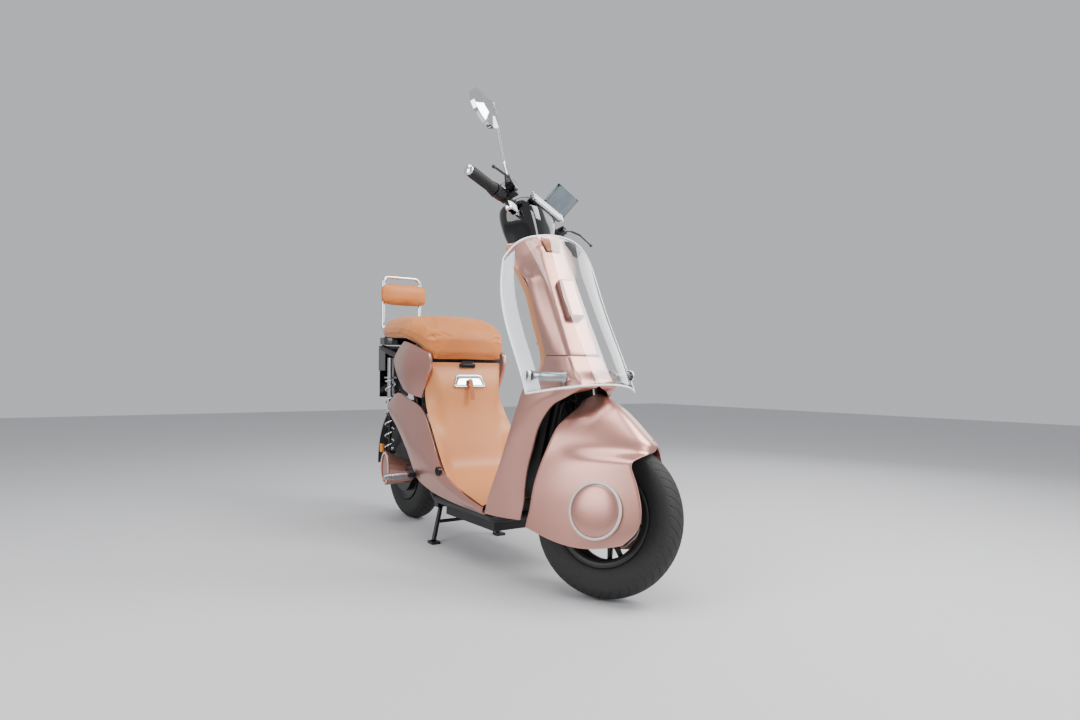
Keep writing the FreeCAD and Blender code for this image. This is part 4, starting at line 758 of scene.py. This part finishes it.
for piece in (rim, spokes, hub, disc):
    finish_piece(piece, "frame_black", "front_rim")

# %% [markdown]
# ## Handlebar cowl and lamps
# The cowl is a deep black box, narrow at the column and wide at the bar. Rounded-rectangle rings, each a
# superellipse, are stacked along the steering axis and smoothed. A white lamp bar with chrome ends lies
# across its front.


# %% Stacked rounded rectangles
def stacked(rings, around=96, power=3.0, steps=8):
    """Rings given as centre ahead, half length, half width, height. Each is |x/a|^n + |y/b|^n = 1."""
    table = smooth_rows(rings, steps)
    centre, a, b, rise = (table[:, i:i + 1] for i in range(4))
    angle = np.linspace(0, 2 * np.pi, around, endpoint=False)[None]
    c, s = np.cos(angle), np.sin(angle)
    x = centre + a * np.sign(c) * np.abs(c) ** (2 / power)
    y = b * np.sign(s) * np.abs(s) ** (2 / power)
    return np.stack([x, y, rise + 0 * x], axis=-1)


COWL_RINGS = [(5, 52, 48, 830), (10, 60, 63, 858), (14, 68, 82, 895), (18, 71, 95, 930), (20, 70, 98, 953),
              (20, 66, 95, 966), (20, 56, 86, 974), (20, 38, 66, 977), (20, 12, 24, 978)]
cowl = make_piece("handlebar_cowl", [fork(stacked(COWL_RINGS))], "steering", piano_black, close_v=True,
                  caps=True)
finish_piece(cowl, "black_gloss", "cowl")

# %% Display arm
arm_pivot = fork([[70, 83, 992]])[0]
arm_nets = [revolve([(0.1, -22), (4, -21), (4, 21), (0.1, 22)], arm_pivot, fork_left, 32),
            revolve([(0.1, -8), (6, -7.5), (6, 7.5), (0.1, 8)], arm_pivot, fork_left, 32),
            revolve([(0.1, -30), (6.5, -29), (5, 0), (0.1, 1)], fork([[70, 83, 990]])[0],
                    fork_up * 0.78 + fork_ahead * 0.62, 24)]
arm = make_piece("display_arm", arm_nets, "steering", grained_black, close_v=True, caps=True)


# %% Rounded bars and housings
def rounded_bar(half, power=6.0, rows=25, cols=48):
    """A closed superellipsoid: each half size to its power, summed, equals one."""
    v = np.linspace(-np.pi / 2, np.pi / 2, rows)[:, None]
    w = np.linspace(-np.pi, np.pi, cols, endpoint=False)[None]

    def soft(value):
        """A signed power, which squares off a circle."""
        return np.sign(value) * np.abs(value) ** (2 / power)

    return np.stack([half[0] * soft(np.cos(v)) * soft(np.cos(w)),
                     half[1] * soft(np.cos(v)) * soft(np.sin(w)),
                     half[2] * soft(np.sin(v)) + 0 * w], axis=-1)


def blocks(name, frame_of, shapes, body, material):
    """Several rounded bars, each at a centre with half sizes, as one piece."""
    nets = [frame_of(rounded_bar(half, power) + np.asarray(centre, float)) for centre, half, power in shapes]
    piece = make_piece(name, nets, body, material, close_v=True)
    print(piece.name, len(piece.data.polygons), "faces")
    return piece


# %% Lamp bar, turn signals and bar ends
SIDES = (-1, 1)
BAR_CENTRE = fork([[32.3, 0, 949.7]])[0]
STALK_PROFILE = [(0.1, 80), (6, 81), (6, 130), (0.1, 131)]
PLUG_PROFILE = [(0.1, 330.5), (14, 330.5), (15, 332), (15, 336), (12, 339), (0.1, 340)]
blocks("headlamp_bar", fork, [((94.5, 0, 952), (5, 79.5, 12), 9.0)], "steering", lamp_clear)
blocks("headlamp_ends", fork, [((95, side * 85.5, 952), (5.5, 5.5, 14), 7.0) for side in SIDES], "steering",
       chrome)
blocks("headlamp_back", fork, [((87.5, 0, 952), (5, 86, 13.5), 8.0)], "steering", piano_black)
signals = blocks("turn_signal_frames", fork, [((43, side * 150, 908), (11, 22, 16), 5.0) for side in SIDES],
                 "steering", chrome)
blocks("turn_signal_lenses", fork, [((50.6, side * 150, 908), (4.6, 17.5, 11.5), 5.0) for side in SIDES],
       "steering", lamp_clear)
stalk_nets = [revolve(STALK_PROFILE, fork([[36, 0, 908]])[0], fork_left * side, 32) for side in SIDES]
stalks = make_piece("turn_signal_stalks", stalk_nets, "steering", chrome, close_v=True, caps=True)
plug_nets = [revolve(PLUG_PROFILE, BAR_CENTRE, fork_left * side, 48) for side in SIDES]
ends = make_piece("bar_end_plugs", plug_nets, "steering", chrome, close_v=True, caps=True)
for piece in (signals, stalks, ends):
    finish_piece(piece, "chrome", "chrome_trims")
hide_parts("lamp_lenses")

# %% Ribbed grips
RIB_PITCH = 5.2
for label, side, body in (("throttle_rubber", -1, "throttle"), ("left_rubber", 1, "steering")):
    reach = np.linspace(215, 330, 180)
    ribs = 15.6 + 0.9 * (np.sin(2 * np.pi * reach / RIB_PITCH) > -0.2) * ((reach > 228) & (reach < 318))
    ribs = np.where((reach < 222), 18.4, ribs)
    profile = [(11.4, 215)] + list(zip(ribs, reach)) + [(11.4, 330)]
    grip = make_piece(label, [revolve(profile, BAR_CENTRE, fork_left * side, 48)], body, grip_rubber,
                      close_v=True, close_u=True)
    finish_piece(grip, "grip_rubber", "throttle_grip" if side < 0 else "left_grip")

# %% [markdown]
# ## Clear screen
# The screen is one sheet of cast acrylic, warmed and bent. Its middle stands forward and its sides sweep
# back. The sawn edge is flame polished; it is modelled as a slim rounded bead that follows the whole
# outline, with a white glow as a painted highlight. Glowing bands on the sheet, wide on the right and narrow
# on the left, are painted reflections.


# %% Screen surface and bright edge
def screen_point(y_unit, level, inset=0.0):
    """Height runs from an arched lower edge to a rounded upper edge, the half width shrinks with height, and
    the sheet leans back and wraps as a parabola across its width."""
    low = 529 + 24 * (1 - y_unit ** 2)
    high = 984 - 30 * np.abs(y_unit) ** 2 - 46 * np.abs(y_unit) ** 8
    z = low + (high - low) * level
    bulge = np.sin(np.pi * ((z - 529) / 456.0) ** 1.3)
    half_wide = 185 - 46 * (z - 529) / 400.0 + 24 * bulge
    y = half_wide * y_unit
    wrap = 0.00333 - 0.00088 * (z - 529) / 400.0 + 0.00055 * bulge
    return np.stack([1246 - 0.564 * (z - 553) - wrap * y * y - inset, y, z], axis=-1)


SCREEN_THICK = 3.2
unit, level = np.meshgrid(np.linspace(-1, 1, 61), np.linspace(0, 1, 41))
screen_net = vehicle(screen_point(unit, level))
screen = make_piece("screen_sheet", [screen_net], "chassis", screen_clear, outward=False)
face_outwards(screen, vehicle([[1000, 0, 800]])[0])
finish_piece(wall(screen, SCREEN_THICK * MM, bevel=0.3 * MM), "clear_screen", "windshield")

# %% Polished edge with painted glow, and painted reflection bands
outline = np.concatenate([screen_net[0], screen_net[1:, -1], screen_net[-1, -2::-1], screen_net[-2:0:-1, 0]])


def bead(name, path, radii, body, material, closed=True, sides=10):
    """A round bead of given radii along a path of points: rings square to the path's direction."""
    path, radii = np.asarray(path, float), np.broadcast_to(np.asarray(radii, float), (len(path),))
    if closed:
        tangent = np.roll(path, -1, axis=0) - np.roll(path, 1, axis=0)
    else:
        tangent = np.gradient(path, axis=0)
    tangent /= np.linalg.norm(tangent, axis=1, keepdims=True)
    side = np.cross(tangent, (0.13, 0.31, 0.94))
    side /= np.linalg.norm(side, axis=1, keepdims=True)
    over = np.cross(tangent, side)
    angle = np.linspace(0, 2 * np.pi, sides, endpoint=False)[None, :, None]
    round_path = np.cos(angle) * side[:, None] + np.sin(angle) * over[:, None]
    net = path[:, None] + radii[:, None, None] * round_path
    piece = make_piece(name, [net], body, material, close_u=closed, close_v=True, caps=not closed)
    print(piece.name, len(piece.data.polygons), "faces")
    return piece


# Painted highlight: the edge bead's finish glows white.
bead("screen_polished_edge", outline - np.array([SCREEN_THICK / 2 * MM, 0, 0]), 2.6 * MM, "chassis",
     painted_screen_glow)
# Painted reflections: glowing white strips on the sheet's face, wide on the right side and narrow on the
# left, standing for a soft box's reflection.
for inner_edge, side, name in ((0.84, -1, "right"), (0.965, 1, "left")):
    strip_unit, strip_level = np.meshgrid(np.linspace(inner_edge, 0.995, 8) * side,
                                          np.linspace(0.01, 0.95, 40))
    strip_net = vehicle(screen_point(strip_unit, strip_level, SCREEN_THICK + 0.8))
    strip = make_piece("screen_painted_reflection_band_" + name, [strip_net], "chassis", painted_screen_glow, outward=False)
    wall(strip, 1.0 * MM, bevel=0.2 * MM)

# %% Screen posts
POST_FOOT, POST_TIP = np.array([1168, 74, 571.0]), np.array([1132.5, 180, 576.0])
post_way = (POST_TIP - POST_FOOT) / np.linalg.norm(POST_TIP - POST_FOOT)
post_nets, cap_nets, rim_nets = [], [], []
for side in (-1, 1):
    flip = np.array([1, side, 1])
    foot, way = vehicle([POST_FOOT * flip])[0], post_way * flip
    post_nets.append(revolve([(0.1, 4), (18, 4), (19, 6), (18, 10), (13.5, 13), (13.5, 96), (0.1, 96)],
                             foot, way, 48))
    cap_nets.append(revolve([(0.1, 95), (14.5, 95), (14.5, 106), (12, 109), (0.1, 109.5)], foot, way, 48))
    rim_nets.append(revolve([(14.7, 100), (16.8, 100), (16.8, 107), (14.7, 108.5)], foot, way, 48))
posts = make_piece("screen_posts", post_nets, "chassis", satin_aluminium, close_v=True, caps=True)
finish_piece(posts, "chrome", "windshield_posts")
make_piece("screen_post_caps", cap_nets, "chassis", piano_black, close_v=True, caps=True)
make_piece("screen_post_rims", rim_nets, "chassis", chrome, close_v=True, close_u=True)

# %% [markdown]
# ## Padded seat, pillion pad and backrest
# Each pad is foam under a stretched leatherette cover. The foam block starts a little small, and a cloth
# simulation with air pressure swells its cover, so it crowns between its edges as real upholstery does.
# The face that rests on its pan is held still. Piping and thread are laid on afterwards, by sliding their
# paths onto the swollen surface.


# %% Swelling a pad
def closed_copy(name, node, shrink_mm, body, material):
    """A welded copy of a foam block, with every point moved inwards along its normal by `shrink_mm`."""
    piece = bpy.data.objects.new(name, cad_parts[node].data.copy())
    bpy.context.scene.collection.objects.link(piece)
    tidy_mesh(piece.data, 1e-5, True)
    remesh = piece.modifiers.new("even_skin", "REMESH")
    remesh.mode, remesh.voxel_size = "VOXEL", 5.0 * MM
    bake_shape(piece)
    mesh = piece.data
    shrunk = rows_of(mesh.vertices, "co") - rows_of(mesh.vertices, "normal") * shrink_mm * MM
    mesh.vertices.foreach_set("co", shrunk.ravel())
    mesh.materials.clear()
    mesh.materials.append(material)
    mesh.polygons.foreach_set("use_smooth", np.ones(len(mesh.polygons), bool))
    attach(piece, body)
    return piece


def bake_shape(piece):
    """Replaces the mesh by what its modifiers make of it now, and removes them."""
    shown = piece.evaluated_get(bpy.context.evaluated_depsgraph_get())
    shape = bpy.data.meshes.new_from_object(shown)
    piece.modifiers.clear()
    piece.data = shape


def swell(piece, held, pressure, cap_mm, frames=20):
    """Cloth under air pressure; each point then moves at most `cap_mm` from its start."""
    start = rows_of(piece.data.vertices, "co")
    group = piece.vertex_groups.new(name="held")
    group.add(np.flatnonzero(held(start)).tolist(), 1.0, "REPLACE")
    cloth = piece.modifiers.new("cover", "CLOTH")
    cloth.settings.vertex_group_mass = "held"
    cloth.settings.use_pressure = True
    cloth.settings.uniform_pressure_force = pressure
    cloth.settings.effector_weights.gravity = 0.0
    cloth.point_cache.frame_start, cloth.point_cache.frame_end = 1, frames
    for frame_number in range(1, frames + 1):
        bpy.context.scene.frame_set(frame_number)
    bake_shape(piece)
    bpy.context.scene.frame_set(1)
    move = rows_of(piece.data.vertices, "co") - start
    reach = np.linalg.norm(move, axis=1, keepdims=True) + 1e-12
    move *= np.minimum(1.0, cap_mm * MM / reach)
    piece.data.vertices.foreach_set("co", (start + move).ravel())
    piece.vertex_groups.clear()
    highest = float(np.minimum(reach, cap_mm * MM).max()) * 1000
    print(piece.name, "swelled by up to", round(highest, 1), "mm")
    fine = piece.modifiers.new("smooth_cover", "SUBSURF")
    fine.levels = fine.render_levels = 1
    return piece


def shared_x(x_mm):
    """Metres along the shared X axis for a distance in millimetres ahead of the rear axle."""
    return (x_mm - ORIGIN_BACK) * MM


# %% The three pads
SADDLE_HOLLOW_HALF, SADDLE_HOLLOW_TOP, SADDLE_FRONT_WALL = 124 * MM, 732 * MM, 452
PILLION_FOOT_TOP, BACKREST_REAR = 0.737, -134


def saddle_held(p):
    """True for points on the saddle's hollow underside, which rests on its pan."""
    inside = (np.abs(p[:, 1]) < SADDLE_HOLLOW_HALF) & (p[:, 2] < SADDLE_HOLLOW_TOP)
    return inside & (p[:, 0] < shared_x(SADDLE_FRONT_WALL))


saddle = swell(closed_copy("saddle_cushion", "saddle", 5.0, "seat", quilted_leatherette),
               saddle_held, 4.0, 9.0)
pillion = swell(closed_copy("pillion_cushion", "pillion_pad", 4.5, "chassis", tan_leatherette),
                lambda p: p[:, 2] < PILLION_FOOT_TOP, 4.5, 8.0)
back_pad = swell(closed_copy("backrest_cushion", "backrest_pad", 4.5, "chassis", tan_leatherette),
                 lambda p: p[:, 0] < shared_x(BACKREST_REAR), 4.5, 8.0)
for pad, node, fill in ((saddle, "saddle", 0.85), (pillion, "pillion_pad", 0.8),
                        (back_pad, "backrest_pad", 0.8)):
    finish_piece(pad, "tan_leather", node)


# %% Piping and thread
def laid_on(piece, path):
    """Slides each point of the path to the nearest point of the surface: the points and their normals."""
    from mathutils.bvhtree import BVHTree
    tree = BVHTree.FromObject(piece, bpy.context.evaluated_depsgraph_get())
    hits = [tree.find_nearest(tuple(p)) for p in path]
    return np.array([tuple(hit[0]) for hit in hits]), np.array([tuple(hit[1]) for hit in hits])


def ring_path(corners, steps=12):
    """A closed smooth path through its corners (Catmull-Rom), evenly stepped."""
    way = smooth_rows(corners[-2:] + corners + corners[:2], steps)
    return way[2 * steps:-2 * steps]


def even_steps(path, step):
    """Points at equal arc length along a closed path."""
    closed_path = np.concatenate([path, path[:1]])
    arc = np.concatenate([[0], np.cumsum(np.linalg.norm(np.diff(closed_path, axis=0), axis=1))])
    at = np.linspace(0, arc[-1], int(arc[-1] / step), endpoint=False)
    return np.stack([np.interp(at, arc, closed_path[:, i]) for i in range(3)], axis=1)


def stitches(name, piece, path, body, pitch=8.0, length=5.0, radius=0.75):
    """Short capsules of thread along a path: rings of six at four stations, thin at both ends."""
    spots, normals = laid_on(piece, even_steps(path, pitch * MM))
    way = np.roll(spots, -1, axis=0) - np.roll(spots, 1, axis=0)
    way /= np.linalg.norm(way, axis=1, keepdims=True)
    side = np.cross(way, normals)
    along = np.array([-0.5, -0.3, 0.3, 0.5])[:, None, None] * length * MM
    girth = np.array([0.15, 1.0, 1.0, 0.15])[:, None, None] * radius * MM
    turn = np.linspace(0, 2 * np.pi, 6, endpoint=False)[None, :, None]
    nets = [spot + along * w + girth * (np.cos(turn) * s + np.sin(turn) * n) + 0.4 * MM * n
            for spot, w, s, n in zip(spots, way, side, normals)]
    make_piece(name, nets, body, stitch_thread, close_v=True, caps=True)


SADDLE_HEM = [(-78, 92, 757), (-40, 126, 739), (20, 142, 733), (140, 163, 727), (260, 174, 723),
              (350, 166, 700), (430, 153, 662), (460, 120, 648), (468, 50, 644)]
seam = ring_path(SADDLE_HEM + [(x, -y, z) for x, y, z in SADDLE_HEM[::-1]])
seam_on, seam_normal = laid_on(saddle, even_steps(vehicle(seam), 6 * MM))
bead("saddle_hem_roll", seam_on + seam_normal * 0.2 * MM, 1.3 * MM, "seat", strap_leather)
stitches("saddle_thread", saddle, vehicle(seam + np.array([0, 0, 7.0])), "seat", radius=0.6)
angle = np.linspace(0, 2 * np.pi, 120, endpoint=False)
square_sin, square_cos = (np.sign(wave) * np.abs(wave) ** 0.45 for wave in (np.sin(angle), np.cos(angle)))
pillion_ring = np.stack([-131 + 50 * np.cos(angle), 69 * np.sin(angle), 757 + 0 * angle], axis=1)
backrest_ring = np.stack([-124 + 0 * angle, 103 * square_sin, 910 + 47 * square_cos], axis=1)
for pad, name, ring in ((pillion, "pillion", pillion_ring), (back_pad, "backrest", backrest_ring)):
    on, normal = laid_on(pad, even_steps(vehicle(ring), 6 * MM))
    bead(name + "_piping", on + normal * 0.2 * MM, 1.3 * MM, "chassis", strap_leather)

# %% [markdown]
# ## Details on the rider's side
# The inner shield is the same tan plastic as the floor, with a black back. It carries the bezel of the power
# button and the block that the folding bag hook turns on.

# %% Inner shield details
for panel in (inner, legs, column):
    panel.data.materials.append(grained_black)
    panel.modifiers["wall"].material_offset = 1
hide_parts("leg_shield_inner")
rearward = np.array([-1.0, 0.0, 0.0])
bezel = make_piece("power_bezel", [revolve([(9.3, -6), (13, -6), (13, 2.5), (11.5, 4), (9.3, 3.2)],
                                           vehicle([[846, 0, 900]])[0], rearward, 48)],
                   "chassis", chrome, close_u=True, close_v=True)
HOOK_SHAPES = [((957, 0, 708), (7, 15, 11), 6.0), ((944, 11.2, 708), (14, 2.6, 8), 6.0),
               ((944, -11.2, 708), (14, 2.6, 8), 6.0)]
blocks("hook_block", vehicle, HOOK_SHAPES, "chassis", grey_abs)

# %% [markdown]
# ## Latch plate and strap
# A pressed steel plate, chrome plated, with a shallow recess: two turned faces of the same rounded
# trapezium, joined by a rolled edge. A short leather strap hangs from its middle.


# %% Latch plate
def plate_net(scale_rows, outline_mm):
    """The same outline at several scales and heights: outer wall, rolled edge, flat land, recess."""
    outline_mm = np.asarray(outline_mm, float)
    middle = outline_mm.mean(axis=0)
    spread = outline_mm - middle
    reach = np.abs(spread).max(axis=0)
    rings = [np.column_stack([middle + spread * (1 - inset / reach), np.full(len(spread), rise)])
             for inset, rise in scale_rows]
    return np.stack(rings)


LATCH_OUTLINE = ring_path([(-20, -40, 0), (-20, 0, 0), (-20, 40, 0), (-14, 50, 0), (4, 56, 0), (20, 60, 0),
                           (25, 55, 0), (25, 0, 0), (25, -55, 0), (20, -60, 0), (4, -56, 0),
                           (-14, -50, 0)])[:, :2]
latch_local = plate_net([(0, -3), (0, 3.2), (1.2, 4.6), (6, 4.6), (7.5, 2.2), (14, 2.0)], LATCH_OUTLINE)
tilt = math.radians(90 - 17.2)
down, out = np.array([math.cos(tilt), 0, -math.sin(tilt)]), np.array([math.sin(tilt), 0, math.cos(tilt)])
latch_net = (np.array([470.5, 0, 556.5]) + latch_local[..., :1] * down
             + latch_local[..., 1:2] * (0, 1, 0) + latch_local[..., 2:] * out)
latch = make_piece("latch_face", [vehicle(latch_net)], "chassis", chrome, close_v=True, caps=True)
finish_piece(latch, "chrome", "latch_plate")

# %% [markdown]
# ## Small parts at the bar and the rear
# The display is a flat case behind smoked glass, the brake fluid tank is a small silver box, and a frosted
# ring marks the end cap of the swingarm pod. A slot with three louvres sits under the saddle's nose.

# %% Display glass, fluid tank, pod ring and louvres
smoked_glass = speckled("smoked_display_glass", "#5d6b73", "#6b7a82", 40.0, 0.08, 0.16, IOR=1.5,
                        Coat_Weight=0.5)
DISPLAY_TILT = math.radians(-26)
tilt_cos, tilt_sin = math.cos(DISPLAY_TILT), math.sin(DISPLAY_TILT)
case_x, case_y, case_z = np.moveaxis(rounded_bar((38.5, 63.5, 4.6), 9.0) + np.array([0, 0, 4.0]), -1, 0)
case_net = np.stack([case_x * tilt_cos + case_z * tilt_sin, case_y, -case_x * tilt_sin + case_z * tilt_cos],
                    axis=-1) + np.array([110, 96, 1012])
case = make_piece("display_case", [fork(case_net)], "display", smoked_glass, close_v=True)
blocks("brake_fluid_tank", fork, [((54.3, -151, 974.4), (20.7, 15.7, 13.7), 8.0)], "steering",
       satin_aluminium)
ring_turn = np.linspace(0, 2 * np.pi, 96, endpoint=False)
pod_ring = np.stack([58 + 37.5 * np.cos(ring_turn), -148.6 + 0 * ring_turn, 212 + 58.5 * np.sin(ring_turn)],
                    axis=1)
bead("pod_end_ring", vehicle(pod_ring), 3.2 * MM, "swingarm_body", ring_white)
LOUVRES = [((457.2, 19 * place, 610), (1.6, 7, 3.4), 5.0) for place in (-1, 0, 1)]
blocks("seat_nose_slot", vehicle, [((455.5, 0, 610), (2.2, 30, 5.5), 6.0)] + LOUVRES, "chassis",
       grained_black)

# %% [markdown]
# ## Rear mudguard
# The mudguard is one moulded sheet that follows the tyre: an arc of constant radius whose cross profile is
# nearly flat on top and turns down at both sides.

# %% Rear mudguard
GUARD_RADIUS, GUARD_FROM, GUARD_TO = 269.0, math.radians(-2), math.radians(125)
GUARD_PROFILE = [(-61, 25), (-57, 12), (-48, 6), (-28, 1), (0, 0), (28, 1), (48, 6), (57, 12), (61, 25)]
guard_profile = smooth_rows(GUARD_PROFILE, 6)
guard_angle = np.linspace(GUARD_FROM, GUARD_TO, 64)[:, None]
guard_radius = GUARD_RADIUS - guard_profile[None, :, 1]
guard_net = np.stack([-guard_radius * np.cos(guard_angle), guard_profile[None, :, 0] + 0 * guard_angle,
                      WHEEL_RADIUS + guard_radius * np.sin(guard_angle)], axis=-1)
guard = make_piece("moulded_mudguard", [vehicle(guard_net)], "chassis", grained_black, outward=False)
face_outwards(guard, rear_hub)
finish_piece(wall(guard, 2.6 * MM), "control_black", "rear_mudguard")

# %% [markdown]
# ## Coil springs
# Each spring is one steel wire wound on a helix around the damper, chrome plated, with its end turns wound
# close. On the real scooter it shortens towards its upper seat as the damper closes, by the damper's stroke;
# here it is built at one length, and the stroke is listed but not used.

# %% Coil springs
SPRING_LOW, SPRING_HIGH, SPRING_TURNS, SPRING_RADIUS, WIRE_RADIUS, STROKE = 272.0, 556.0, 7, 18.0, 3.0, 31.5
share = np.linspace(0, 1, 300)
rise = np.interp(share, [0, 0.1, 0.9, 1], [0.012, 0.045, 0.955, 0.988])
coil_angle = 2 * np.pi * SPRING_TURNS * share
for side, name in ((-1, "right"), (1, "left")):
    wire = np.stack([-20 + SPRING_RADIUS * np.cos(coil_angle),
                     side * 98 + SPRING_RADIUS * np.sin(coil_angle),
                     SPRING_LOW + (SPRING_HIGH - SPRING_LOW) * rise], axis=1)
    spring = bead("coil_spring_" + name, vehicle(wire), WIRE_RADIUS * MM, "chassis", chrome,
                  closed=False)
    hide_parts("shock_springs")
    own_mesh(spring)
